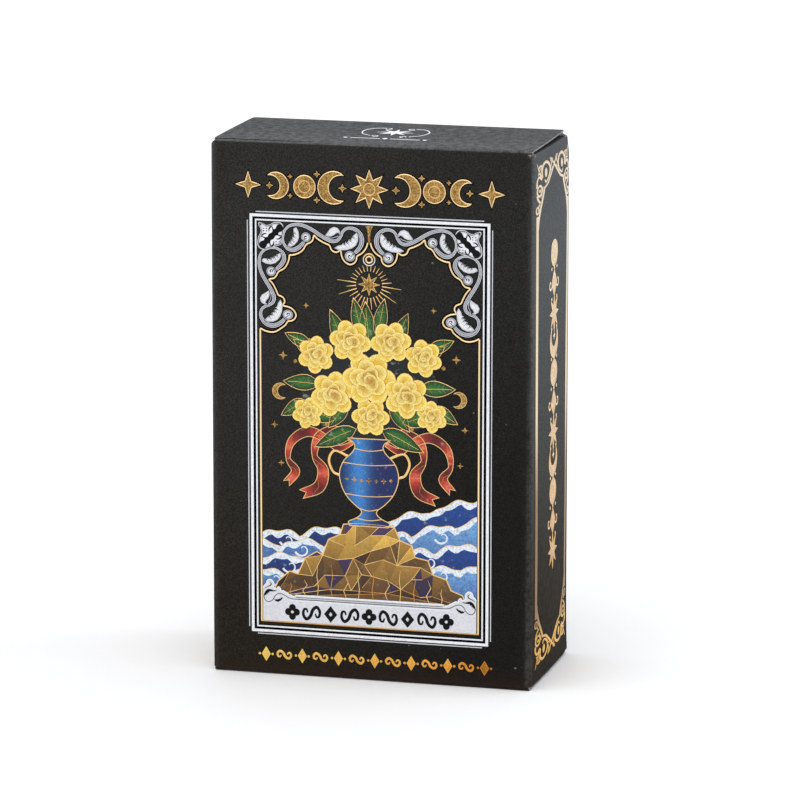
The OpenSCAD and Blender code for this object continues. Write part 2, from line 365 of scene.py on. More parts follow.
def card_mat(name, dark, line, back=False):
    """A playing card: printed face with a fine border line, cream cut edge with layered stock."""
    m, nt, b = new_mat(name)
    n = Net(nt)
    tc = n.add("ShaderNodeTexCoord")
    p = tc.outputs["Object"]
    x, y, z = n.xyz(p)
    nx, ny, nz = n.xyz(tc.outputs["Normal"])
    face = n.span(n.math("ABSOLUTE", ny), 0.6, 0.7)
    f = n.noise(p, 1500.0, 3.0, 0.6)
    g = n.noise(p, 5000.0, 2.0, 0.6)
    stock = n.mix(n.span(f, 0.3, 0.7), (0.66, 0.61, 0.50), (0.86, 0.82, 0.73))
    stock = n.mix(n.math("MULTIPLY", n.span(n.noise(p, 90.0, 2.0), 0.4, 0.7), 0.3), stock, (0.55, 0.49, 0.38))
    print_ = n.mix(n.span(f, 0.3, 0.7), tuple(c * 0.7 for c in dark), tuple(c * 1.25 for c in dark))
    # border lines 2.6 and 3.6 mm inside the card's edge (a card is 70 x 120, its foot at z 1.2)
    dx = n.math("SUBTRACT", 0.035, n.math("ABSOLUTE", x))
    dz = n.math("SUBTRACT", 0.060, n.math("ABSOLUTE", n.math("SUBTRACT", z, 0.0612)))
    d = n.math("MINIMUM", dx, dz)
    l1 = n.math("MULTIPLY", n.span(d, 0.0024, 0.0025), n.span(d, 0.0029, 0.0028))
    l2 = n.math("MULTIPLY", n.span(d, 0.0034, 0.0035), n.span(d, 0.0037, 0.0036))
    lines = n.math("MAXIMUM", l1, l2)
    print_ = n.mix(lines, print_, line)
    rub = n.math("MULTIPLY", n.span(d, 0.00035, 0.00005), n.span(n.noise(p, 1100.0, 3.0), 0.42, 0.62))
    print_ = n.mix(n.math("MULTIPLY", rub, 0.6), print_, (0.45, 0.41, 0.33))
    n.link(n.mix(face, stock, print_), b.inputs["Base Color"])
    n.link(n.span(face, 0.0, 1.0, 0.8, 0.34), b.inputs["Roughness"])
    b.inputs["Specular IOR Level"].default_value = 0.4
    n.link(n.bump(g, 0.22, 0.00002), b.inputs["Normal"])
    return m


def paper_mat():
    m, nt, b = new_mat("booklet_paper")
    n = Net(nt)
    tc = n.add("ShaderNodeTexCoord")
    p = tc.outputs["Object"]
    x, y, z = n.xyz(p)
    w = n.add("ShaderNodeTexWave", wave_type="BANDS", bands_direction="Y")
    w.inputs["Scale"].default_value = 1100.0
    w.inputs["Distortion"].default_value = 1.6
    w.inputs["Detail"].default_value = 2.0
    w.inputs["Detail Scale"].default_value = 0.4
    n.link(p, w.inputs["Vector"])
    f = n.noise(p, 900.0, 3.0)
    col = n.mix(w.outputs["Fac"], (0.50, 0.46, 0.38), (0.82, 0.79, 0.71))
    col = n.mix(n.math("MULTIPLY", n.span(f, 0.4, 0.7), 0.3), col, (0.66, 0.60, 0.48))
    n.link(col, b.inputs["Base Color"])
    b.inputs["Roughness"].default_value = 0.86
    n.link(n.bump(w.outputs["Fac"], 0.5, 0.00006), b.inputs["Normal"])
    return m


def cover_mat():
    m, nt, b = new_mat("booklet_cover")
    n = Net(nt)
    tc = n.add("ShaderNodeTexCoord")
    p = tc.outputs["Object"]
    f = n.noise(p, 1400.0, 3.0, 0.6)
    g = n.noise(p, 60.0, 2.0)
    col = n.mix(n.span(f, 0.3, 0.7), (0.011, 0.011, 0.016), (0.021, 0.020, 0.027))
    col = n.mix(n.math("MULTIPLY", n.span(g, 0.4, 0.7), 0.4), col, (0.026, 0.022, 0.024))
    n.link(col, b.inputs["Base Color"])
    b.inputs["Roughness"].default_value = 0.42
    n.link(n.bump(n.noise(p, 4200.0, 2.0), 0.25, 0.00003), b.inputs["Normal"])
    return m


def wire_mat():
    m, nt, b = new_mat("staple_wire")
    n = Net(nt)
    tc = n.add("ShaderNodeTexCoord")
    p = tc.outputs["Object"]
    f = n.noise(p, 2500.0, 3.0, 0.6)
    n.link(n.mix(n.span(f, 0.3, 0.7), (0.42, 0.42, 0.43), (0.68, 0.68, 0.7)), b.inputs["Base Color"])
    b.inputs["Metallic"].default_value = 1.0
    n.link(n.span(f, 0.3, 0.7, 0.25, 0.4), b.inputs["Roughness"])
    return m


M_BLACK, M_EDGE, M_INSIDE = board_black(), board_edge(), board_inside()
M_GOLD, M_SILVER, M_INK, M_SHADE = foil_gold(), foil_silver(), ink(), shade_ink()


# ---------------------------------------------------------------- mesh making
def make(name, verts_mm, faces, mats, index=None, tint=None, wear=None, rest=None, smooth_angle=35.0, crease=None):
    co = np.array(verts_mm, float).reshape(-1, 3)
    me = bpy.data.meshes.new(name)
    me.from_pydata((co * MM).tolist(), [], [list(f) for f in faces])
    for m in mats:
        me.materials.append(m)
    if index is not None:
        me.polygons.foreach_set("material_index", np.array(index, np.int32))
    me.polygons.foreach_set("use_smooth", np.ones(len(me.polygons), bool))
    r = np.array(rest if rest is not None else co, float).reshape(-1, 3) * MM
    me.attributes.new("rest", "FLOAT_VECTOR", "POINT").data.foreach_set("vector", r.astype(np.float32).ravel())
    if tint is not None:
        c = np.array(tint, np.float32).reshape(-1, 4)
        me.attributes.new("tint", "FLOAT_COLOR", "POINT").data.foreach_set("color", c.ravel())
    if wear is not None:
        me.attributes.new("wear", "FLOAT", "POINT").data.foreach_set("value", np.array(wear, np.float32))
    if crease is not None:
        me.attributes.new("crease", "FLOAT", "POINT").data.foreach_set("value", np.array(crease, np.float32))
    me.update()
    me.set_sharp_from_angle(angle=math.radians(smooth_angle))
    me.validate()
    ob = bpy.data.objects.new(name, me)
    bpy.context.scene.collection.objects.link(ob)
    return ob


def board(name, outer, inner, wear, loop=False, do_warp=True, crease=None):
    """A closed sheet of board between two grids of points (rows x columns): black film outside, raw cut edges, grey inside."""
    outer, inner = np.array(outer, float), np.array(inner, float)
    r, c = outer.shape[:2]
    a = outer.reshape(-1, 3)
    b = inner.reshape(-1, 3)
    # direction of the outer side, to wind the faces outwards
    verts = np.concatenate([a, b])
    n0 = r * c
    faces, idx = [], []
    cols = c if loop else c - 1
    i0 = lambda i, j: i * c + (j % c)
    mid_i, mid_j = (r - 1) // 2, (cols - 1) // 2
    p, q, s = outer[mid_i, mid_j], outer[mid_i, (mid_j + 1) % c], outer[mid_i + 1, mid_j]
    flip = np.dot(np.cross(q - p, s - p), p - inner[mid_i, mid_j]) < 0
    for i in range(r - 1):
        for j in range(cols):
            f = (i0(i, j), i0(i, j + 1), i0(i + 1, j + 1), i0(i + 1, j))
            g = tuple(k + n0 for k in f[::-1])
            faces += [f[::-1], g[::-1]] if flip else [f, g]
            idx += [0, 2]
    rim = []
    rim += [((0, j + 1), (0, j)) for j in range(cols)]
    rim += [((r - 1, j), (r - 1, j + 1)) for j in range(cols)]
    if not loop:
        rim += [((i, 0), (i + 1, 0)) for i in range(r - 1)]
        rim += [((i + 1, c - 1), (i, c - 1)) for i in range(r - 1)]
    for (ia, ja), (ib, jb) in rim:
        f = (i0(ia, ja), i0(ib, jb), i0(ib, jb) + n0, i0(ia, ja) + n0)
        faces.append(f[::-1] if flip else f)
        idx.append(1)
    rest = verts
    verts = warp(verts) if do_warp else verts
    w = np.concatenate([np.array(wear, float).ravel(), np.zeros(n0)])
    cr = np.zeros(2 * n0)
    if crease is not None:
        cr[:n0] = np.array(crease, float).ravel()
    return make(name, verts, faces, [M_BLACK, M_EDGE, M_INSIDE], idx, wear=w, rest=rest, crease=cr)


# ---------------------------------------------------------------- flat drawing kit (u, v in mm on a face)
def catmull(pts, n=6, closed=False):
    P = [np.array(p, float) for p in pts]
    if len(P) < 3:
        return np.array(P)
    out = []
    m = len(P)
    segs = m if closed else m - 1
    for i in range(segs):
        p0 = P[(i - 1) % m] if (closed or i > 0) else 2 * P[0] - P[1]
        p1, p2 = P[i], P[(i + 1) % m]
        p3 = P[(i + 2) % m] if (closed or i + 2 < m) else 2 * P[-1] - P[-2]
        for k in range(n):
            t = k / n
            out.append(0.5 * (2 * p1 + (p2 - p0) * t + (2 * p0 - 5 * p1 + 4 * p2 - p3) * t * t + (3 * p1 - p0 - 3 * p2 + p3) * t ** 3))
    if not closed:
        out.append(P[-1])
    return np.array(out)


def circle(cx, cy, r, n=28, r2=None, rot=0.0):
    t = np.linspace(0, 2 * np.pi, n, endpoint=False) + rot
    return np.stack([cx + r * np.cos(t), cy + (r2 or r) * np.sin(t)], 1)


def arc(cx, cy, r, a0, a1, n=16):
    t = np.radians(np.linspace(a0, a1, n))
    return np.stack([cx + r * np.cos(t), cy + r * np.sin(t)], 1)


def spiral(cx, cy, r0, r1, a0, a1, n=26):
    t = np.linspace(0, 1, n)
    r = r0 + (r1 - r0) * t
    a = np.radians(a0 + (a1 - a0) * t)
    return np.stack([cx + r * np.cos(a), cy + r * np.sin(a)], 1)


def star(cx, cy, R, r, n=5, rot=90.0):
    t = np.radians(rot + 180.0 / n * np.arange(2 * n))
    rr = np.where(np.arange(2 * n) % 2 == 0, R, r)
    return np.stack([cx + rr * np.cos(t), cy + rr * np.sin(t)], 1)


def crescent(cx, cy, R, open_=0.0, bite=0.78, shift=0.42, n=22):
    """A moon with its horns towards the direction open_ (degrees)."""
    r2, s = R * bite, R * shift
    # where the circles cross
    ca = (R * R + s * s - r2 * r2) / (2 * R * s)
    a = math.degrees(math.acos(max(-1, min(1, ca))))
    cb = (s * s + r2 * r2 - R * R) / (2 * s * r2)
    b = 180.0 - math.degrees(math.acos(max(-1, min(1, cb))))
    o = arc(0, 0, R, a, 360 - a, n)
    i = arc(s, 0, r2, 360 - b, b, n)[1:-1]
    P = np.concatenate([o, i])
    t = math.radians(open_)
    rot = np.array([[math.cos(t), math.sin(t)], [-math.sin(t), math.cos(t)]])
    return P @ rot + np.array([cx, cy])


def turned(P, ang, cx=0.0, cy=0.0, s=1.0, flip=False):
    P = np.array(P, float).copy()
    if flip:
        P[:, 0] *= -1
    t = math.radians(ang)
    rot = np.array([[math.cos(t), math.sin(t)], [-math.sin(t), math.cos(t)]])
    return (P * s) @ rot + np.array([cx, cy])


def leaf_poly(length, width, bend=0.0, n=9):
    """A leaf from (0,0) along +x, bent sideways."""
    t = np.linspace(0, 1, n)
    w = width / 2 * np.sin(np.pi * t ** 0.8) ** 0.9
    cx = length * t
    cy = bend * np.sin(np.pi * t / 2) * t
    up = np.stack([cx, cy + w], 1)
    dn = np.stack([cx, cy - w], 1)[::-1]
    return np.concatenate([up, dn[1:-1]]), np.stack([cx, cy], 1)


def dist_to(poly, pts):
    P = np.array(poly, float)
    Q = np.roll(P, -1, 0)
    d = np.full(len(pts), 1e9)
    for a, b in zip(P, Q):
        ab = b - a
        L = ab @ ab
        if L < 1e-12:
            continue
        t = np.clip(((pts - a) @ ab) / L, 0, 1)
        d = np.minimum(d, np.linalg.norm(pts - (a + t[:, None] * ab), axis=1))
    return d


def inside(poly, pts):
    P = np.array(poly, float)
    Q = np.roll(P, -1, 0)
    x, y = pts[:, 0], pts[:, 1]
    c = np.zeros(len(pts), bool)
    for (x1, y1), (x2, y2) in zip(P, Q):
        k = (y1 > y) != (y2 > y)
        with np.errstate(divide="ignore", invalid="ignore"):
            xi = (x2 - x1) * (y - y1) / (y2 - y1) + x1
        c ^= k & (x < xi)
    return c


def divided(P, step, closed=False, w=None):
    """The polyline with extra points, so that no run is longer than step."""
    P = np.array(P, float)
    n = len(P)
    out, ws = [], []
    for i in range(n if closed else n - 1):
        a, b = P[i], P[(i + 1) % n]
        k = max(1, int(math.ceil(np.linalg.norm(b - a) / step)))
        for j in range(k):
            out.append(a + (b - a) * j / k)
            if w is not None:
                ws.append(w[i] + (w[(i + 1) % n] - w[i]) * j / k)
    if not closed:
        out.append(P[-1])
        if w is not None:
            ws.append(w[-1])
    return np.array(out), (np.array(ws) if w is not None else None)


class Print:
    """Raised print on one face of the object: closed thin shapes gathered into one mesh."""

    def __init__(self, place, stretch=1.0, under=None, bold=1.0):
        self.place, self.v, self.f, self.c, self.k = place, [], [], [], stretch
        self.under, self.bold = under, bold
        self.n = 0

    def _add(self, uvh, cols, faces):
        self.v.append(np.array(uvh, float))
        self.c.append(np.array(cols, float))
        k = self.n
        self.f += [tuple(i + k for i in f) for f in faces]
        self.n += len(uvh)

    def line(self, pts, w, h=0.05, base=None, col=(1, 1, 1, 0), closed=False):
        """A domed strip along a polyline; w is one width or one per point."""
        P = np.array(pts, float)
        keep = [0] + [i for i in range(1, len(P)) if np.linalg.norm(P[i] - P[i - 1]) > 1e-5]
        ww = np.broadcast_to(np.array(w, float) * self.bold, (len(P),))[keep]
        if base is None:
            base = -0.03 if self.under is None else max(-0.03, h - self.under)
        P = P[keep]
        if closed and np.linalg.norm(P[0] - P[-1]) < 1e-5:
            P, ww = P[:-1], ww[:-1]
        if np.array(col).ndim == 1:
            P, ww = divided(P, 1.8, closed, ww)
        n = len(P)
        if n < 2:
            return self
        seg = (np.roll(P, -1, 0) - P)
        seg /= np.linalg.norm(seg, axis=1)[:, None] + 1e-12
        nrm = np.stack([-seg[:, 1], seg[:, 0]], 1)
        prev = np.roll(nrm, 1, 0)
        if not closed:
            prev[0] = nrm[0]
            nrm[-1] = prev[-1]
        mit = prev + nrm
        L = np.linalg.norm(mit, axis=1)
        bad = L < 1e-6
        mit[bad], L[bad] = nrm[bad], 1.0
        mit /= L[:, None]
        mit /= np.maximum(0.45, (mit * nrm).sum(1))[:, None]
        offs = (-0.5, -0.30, 0.0, 0.30, 0.5)
        sh = h * 0.82 if base <= -0.03 else base + (h - base) * 0.82
        hs = (base, sh, h, sh, base)
        uvh, cols = [], []
        C = np.array(col, float)
        for i in range(n):
            ci = C[i] if C.ndim == 2 else C
            for o, hh in zip(offs, hs):
                q = P[i] + mit[i] * o * ww[i]
                uvh.append((q[0], q[1], hh))
                cols.append(ci)
        faces = []
        for i in range(n if closed else n - 1):
            a, b = 5 * i, 5 * ((i + 1) % n)
            for k in range(4):
                faces.append((a + k, b + k, b + k + 1, a + k + 1))
            faces.append((a + 4, b + 4, b, a))
        if not closed:
            faces.append((0, 1, 2, 3, 4))
            e = 5 * (n - 1)
            faces.append((e + 4, e + 3, e + 2, e + 1, e))
        self._add(uvh, cols, faces)
        return self

    def fill(self, poly, h=0.03, base=-0.03, col=(1, 1, 1, 1), step=None, dome=0.0, soft=0.5, edge=None):
        """A closed plate over a polygon; col is a colour or a function of (points, distance to the edge)."""
        P = np.array(poly, float)
        keep = [i for i in range(len(P)) if np.linalg.norm(P[i] - P[i - 1]) > 1e-4]
        P = P[keep]
        if len(P) < 3:
            return self
        P, _ = divided(P, 1.8, True)
        n = len(P)
        if step is None and np.ptp(P, 0).max() > 4.0:
            step = 2.5
        area = 0.5 * np.sum(P[:, 0] * np.roll(P[:, 1], -1) - np.roll(P[:, 0], -1) * P[:, 1])
        if area < 0:
            P = P[::-1]
        extra = np.zeros((0, 2))
        if step:
            lo, hi = P.min(0), P.max(0)
            gx = np.arange(lo[0] + step * 0.5, hi[0], step)
            gy = np.arange(lo[1] + step * 0.5, hi[1], step)
            if len(gx) and len(gy):
                G = np.stack(np.meshgrid(gx, gy), -1).reshape(-1, 2)
                G = G[inside(P, G)]
                if len(G):
                    G = G[dist_to(P, G) > 0.35 * step]
                extra = G
        allp = [Vector(p) for p in P] + [Vector(p) for p in extra]
        ed = [(i, (i + 1) % n) for i in range(n)]
        v, e, f, *_ = delaunay_2d_cdt(allp, ed, [list(range(n))], 1, 1e-6)
        V = np.array([(q.x, q.y) for q in v])
        d = dist_to(P, V)
        hh = h + dome * (1 - np.exp(-d / soft))
        if callable(col):
            cols = np.array(col(V, d), float)
        else:
            cols = np.tile(np.array(col, float), (len(V), 1))
        if edge is not None:
            k = np.exp(-d / 0.12)[:, None]
            cols = cols * (1 - k) + np.array(edge, float) * k
        m = len(V)
        uvh = np.concatenate([np.column_stack([V, hh]), np.column_stack([V, np.full(m, base)])])
        cnt = {}
        tri = []
        for t in f:
            t = list(t)
            if len(t) < 3:
                continue
            ar = 0.0
            for i in range(len(t)):
                a, b = V[t[i]], V[t[(i + 1) % len(t)]]
                ar += a[0] * b[1] - b[0] * a[1]
            if ar < 0:
                t = t[::-1]
            tri.append(t)
            for i in range(len(t)):
                cnt[(t[i], t[(i + 1) % len(t)])] = 1
        faces = [tuple(t) for t in tri] + [tuple(i + m for i in t[::-1]) for t in tri]
        for a, b in list(cnt):
            if (b, a) not in cnt:
                faces.append((a, a + m, b + m, b))
        self._add(uvh, np.concatenate([cols, cols]), faces)
        return self

    def build(self, name, mat, body, tone=None):
        uvh = np.concatenate(self.v)
        uvh[:, 0] *= self.k
        cols = np.concatenate(self.c)
        if tone is not None:
            cols = tone(uvh, cols)
        xyz = self.place(uvh[:, 0], uvh[:, 1], uvh[:, 2])
        ob = make(name, xyz, self.f, [mat], tint=cols, smooth_angle=50.0)
        # a left-handed face turns the drawing inside out: wind it back
        flip = getattr(self.place, "flip", False)
        if flip:
            ob.data.flip_normals()
        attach(ob, body)
        return ob


def on_front(u, v, h):
    return warp(np.stack([u - 38.0, -18.0 - h, v], 1))


def on_right(u, v, h):
    return warp(np.stack([38.0 + h, u - 18.0, v], 1))


def on_left(u, v, h):
    return warp(np.stack([-38.0 - h, u - 18.0, v], 1))


on_left.flip = True


def on_back(u, v, h):
    return warp(np.stack([38.0 - u, 18.0 + h, v], 1))


def lid_lift(y, x=0.0):
    """The closed lid rises a little towards its back edge, more on the left."""
    return (0.24 - 0.09 * np.asarray(x, float) / 38.0) * np.clip((np.asarray(y, float) + 17.2) / 34.0, 0, 1.05) ** 1.4


def on_lid(u, v, h):
    y = v - 18.0
    return warp(np.stack([u - 38.0, y, 126.0 + lid_lift(y, u - 38.0) + h], 1))


# ---------------------------------------------------------------- the carton's boards
def cols_between(a, b, near=(0.0, 0.35, 0.8, 1.5, 2.5), step=2.2):
    """Stations from a to b, closer together near both ends."""
    L = abs(b - a)
    s = 1 if b > a else -1
    mid = np.linspace(near[-1], L - near[-1], max(2, int(round((L - 2 * near[-1]) / step)) + 1))
    t = list(near[:-1]) + list(mid) + [L - q for q in near[:-1]][::-1]
    return [a + s * q for q in t]


def fold_arc(cx, cy, a0, n=7):
    out = []
    for k in range(1, n):
        a = math.radians(a0 + 90.0 * k / n)
        out.append((cx + RF * math.cos(a), cy + RF * math.sin(a), math.cos(a), math.sin(a), k / n))
    return out


def sleeve():
    st = []   # x, y, nx, ny, top, bottom, fold nearness
    xs = cols_between(-37, 37)
    ys = cols_between(-17, 17)

    def near(d):
        return math.exp(-(d / 0.75) ** 1.3)

    back_round = 0.5

    def back_top(x):
        d = max(0.0, abs(x) - (37.0 - back_round))
        return 125.5 - back_round + math.sqrt(max(0.0, back_round ** 2 - d ** 2))

    def chop(y):
        return min(1.0, max(0.0, (y - 13.0) / 4.0)) ** 1.5

    def side_top(y):
        return 124.88 - 0.25 * (y + 17.0) / 34.0

    def side_foot(y):
        return 0.95 + 0.13 * (y + 17.0) / 34.0 + 0.5 * chop(y)

    for x in xs:
        st.append((x, -18.0, 0, -1, 125.2, 0.8, near(37 - abs(x))))
    for x, y, nx, ny, t in fold_arc(37, -17, -90):
        st.append((x, y, nx, ny, 125.2 - 0.32 * t, 0.8 + 0.15 * t, 1.0))
    for y in ys:
        st.append((38.0, y, 1, 0, side_top(y), side_foot(y), near(17 - abs(y))))
    for x, y, nx, ny, t in fold_arc(37, 17, 0):
        st.append((x, y, nx, ny, 124.63 + 0.37 * t, 1.58 - 1.58 * t, 1.0))
    for x in xs[::-1]:
        st.append((x, 18.0, 0, 1, back_top(x), 0.0, near(37 - abs(x))))
    for x, y, nx, ny, t in fold_arc(-37, 17, 90):
        st.append((x, y, nx, ny, 125.0 - 0.37 * t, 1.58 * t, 1.0))
    for y in ys[::-1]:
        st.append((-38.0, y, -1, 0, side_top(y), side_foot(y), near(17 - abs(y))))
    for x, y, nx, ny, t in fold_arc(-37, -17, 180):
        st.append((x, y, nx, ny, 124.88 + 0.32 * t, 0.95 - 0.15 * t, 1.0))
    rows = cols_between(0, 126, near=(0.0, 0.4, 1.0, 2.0, 4.0), step=3.4)
    outer, inner, wear, crease = [], [], [], []
    for zr in rows:
        t = zr / 126.0
        o, i, w, cz = [], [], [], []
        for x, y, nx, ny, zt, zb, nf in st:
            z = zb + (zt - zb) * t
            o.append((x, y, z))
            i.append((x - nx * T, y - ny * T, z))
            e = max(0.10 * near(zt - z), 0.22 * near(z - zb))
            tip = math.exp(-(zt - z) / 1.6) if (x > 0 and y < 0) else 0.45 * math.exp(-(zt - z) / 1.2)
            toe = 0.3 * math.exp(-(z - zb) / 1.4)
            rubbed = math.exp(-(zt - z) / 1.0) * math.exp(-(max(0.0, 37.0 - x) / 1.0) ** 1.3) if (x > 30 and y < -16.5) else 0.0
            k = max(nf * min(1.0, 0.22 + 0.62 * tip + toe), e, 1.0 * rubbed)
            w.append(k)
            cz.append(nf ** 3 * ((0.08 + 0.20 * (1 - t) if x > 0 else 0.10) if y < 0 else 0.12) * (1.0 + 0.7 * tip))
        outer.append(o)
        inner.append(i)
        wear.append(w)
        crease.append(cz)
    ob = board("carton_sleeve", outer, inner, wear, loop=True, crease=crease)
    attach(ob, "carton")
    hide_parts("front_panel", "back_panel", "left_panel", "right_panel")
    return ob


def across(hw_l, hw_r, n=33):
    t = np.linspace(-1, 1, n)
    t = np.sign(t) * (1 - (1 - np.abs(t)) ** 1.35)
    return np.where(t < 0, t * hw_l, t * hw_r)


def top_folds():
    # the fold on the front panel's side of the crease, up to 45 degrees
    yc, zc = -17.2, 125.2
    for end in ("top", "bottom"):
        outer, inner, wear, crease = [], [], [], []
        for k in range(7):
            a = math.radians(45.0 * k / 6)
            hwl = 37.6 - (0.55 if end == "top" else 0.05) * (k / 6.0) ** 1.4
            hwr = 37.6 + 0.05 * k / 6
            xs = across(hwl, hwr)
            # pale band near the fold's 45 degree end: stretched film and a painted highlight
            crease.append([(0.62 if end == "top" else 0.2) * math.exp(-((k - 6) / 1.3) ** 2) * (0.8 - 0.25 * math.sin(0.05 * x)) for x in xs])
            o = [(x, yc - RC * math.cos(a), zc + RC * math.sin(a)) for x in xs]
            i = [(x, yc - (RC - T) * math.cos(a), zc + (RC - T) * math.sin(a)) for x in xs]
            if end == "bottom":
                o = [(x, y, H - z) for x, y, z in o]
                i = [(x, y, H - z) for x, y, z in i]
            outer.append(o)
            inner.append(i)
            w = 0.16 + 0.50 * math.exp(-((6 - k) / 1.1) ** 2)
            wear.append([min(1.0, w + (0.55 if end == "top" else 0.1) * math.exp(-(37.6 - x) / 1.1)) for x in xs])
        ob = board(f"front_{end}_fold", outer, inner, wear, crease=crease)
        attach(ob, "carton")


def lid(end):
    """The closing panel with its half of the front fold, and the tongue with the back fold."""
    top = end == "top"
    lift = lid_lift if top else (lambda y, x: 0.0 * np.asarray(x, float))
    yc, zc = -17.2, 125.2
    back_y = 16.55
    flipz = (lambda p: p) if top else (lambda p: (p[0], p[1], H - p[2]))
    outer, inner, wear, crease = [], [], [], []
    for k in range(7):
        a = math.radians(45.0 + 45.0 * k / 6)
        hwl = 37.05 if top else 37.55
        xs = across(hwl, 37.65)
        xi = across(hwl - 0.05, 37.5)
        outer.append([flipz((x, yc - RC * math.cos(a), zc + RC * math.sin(a))) for x in xs])
        inner.append([flipz((x, yc - (RC - T) * math.cos(a), zc + (RC - T) * math.sin(a))) for x in xi])
        wv = 0.12 + 0.50 * math.exp(-(k / 1.1) ** 2)
        wear.append([min(1.0, wv + (0.35 if top else 0.1) * math.exp(-(37.5 - x) / 0.9)) for x in xs])
        # pale band just past the fold's halfway point: stretched film and a painted highlight
        crease.append([(0.72 if top else 0.2) * math.exp(-((k - 1) / 2.0) ** 2) * (0.8 - 0.25 * math.sin(0.05 * x)) for x in xs])
    ys = cols_between(yc, back_y, near=(0.0, 0.3, 0.6, 0.9, 1.2, 1.6, 3.0), step=2.2)[1:]
    for y in ys:
        t = (y + 17.2) / 34.0
        e = max(0.0, y - (back_y - 1.5))
        rc = 1.5 - math.sqrt(max(0.0, 2.25 - e * e))
        left = (37.75 - 0.7 * math.exp(-(y + 17.2) / 1.1) if top else 37.4) - 0.2 * t - 0.33 * rc
        right = 37.65 - 0.30 * t
        xs, xi = across(left, right), across(left - 0.1, right - 0.22)
        sag = [0.10 * math.cos(math.pi * x / 76.0) * math.sin(math.pi * t) for x in xs]
        groove = float(np.interp(y, [-17.2, -16.9, -16.6, -16.3, -16.0, -15.7], [0.0, 0.04, 0.16, 0.28, 0.03, 0.0])) if top else 0.0
        keep = 1.0 - 0.85 * sstep((np.asarray(xs) + 30.0) / 22.0)
        outer.append([flipz((x, y, 126.0 + float(lift(y, x)) - (q if top else 0) - groove * e_)) for x, q, e_ in zip(xs, sag, keep)])
        inner.append([flipz((x, y, 125.5 + float(lift(y, x)) - (q if top else 0))) for x, q in zip(xi, sag)])
        wear.append([max(0.12 * math.exp(-((y - yc) / 0.5) ** 1.2), 0.2 * math.exp(-((back_y - y) / 0.6)), 0.25 * math.exp(-(min(right - x, left + x)) / 0.35)) for x in xs])
        # pale at the back fold; the negative term is painted shadow, near black, in the groove behind the front fold
        crease.append([0.25 * math.exp(-((back_y - y) / 0.8)) - (0.9 * e_ * math.exp(-((y + 16.15) / 0.30) ** 2) if top else 0.0) for e_ in keep])
    ob = board(f"{end}_lid_board", outer, inner, wear, crease=crease)
    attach(ob, f"{end}_lid")
    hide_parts(f"{end}_lid")
    # tongue
    L0 = float(lift(back_y, 0.0))
    rise = lambda x: float(lift(back_y, x))
    outer, inner, wear = [], [], []
    lean = 8.0
    zc2 = 125.2
    for k in range(11):
        a = math.radians((90.0 + lean) * k / 10)
        hwk = 37.05 - 0.6 * k / 10
        xs = across(hwk, hwk + 0.25 * (1 - k / 10))
        outer.append([flipz((x, back_y + RC * math.sin(a), zc2 + rise(x) + RC * math.cos(a))) for x in xs])
        inner.append([flipz((x, back_y + (RC - T) * math.sin(a), zc2 + rise(x) + (RC - T) * math.cos(a))) for x in xs])
        wear.append([0.4 + 0.35 * math.sin(math.pi * k / 10)] * len(xs))
    a = math.radians(90.0 + lean)
    oy, oz = back_y + RC * math.sin(a), zc2 + RC * math.cos(a)
    iy, iz = back_y + (RC - T) * math.sin(a), zc2 + (RC - T) * math.cos(a)
    dy, dz = -math.sin(math.radians(lean)), -math.cos(math.radians(lean))
    length, cr = 11.6, 6.0
    for s in (0.5, 1.5, 3.0, 4.6, 5.6, 6.6, 7.6, 8.5, 9.3, 10.0, 10.6, 11.1, 11.4, 11.6):
        e = max(0.0, s - (length - cr))
        cut = cr - math.sqrt(max(0.0, cr * cr - e * e))
        h_ = 36.45 - 2.0 * s / length - cut
        xs = across(h_, h_)
        outer.append([flipz((x, oy + dy * s, oz + dz * s + rise(x))) for x in xs])
        inner.append([flipz((x, iy + dy * s, iz + dz * s + rise(x))) for x in xs])
        wear.append([0.5 * math.exp(-(length - s) / 0.5)] * len(xs))
    ob = board(f"{end}_tongue_board", outer, inner, wear)
    za, zb = (126.2 + L0, 124.9 + L0)
    if not top:
        za, zb = H - za, H - zb
    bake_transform(ob)
    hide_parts(f"{end}_tongue")


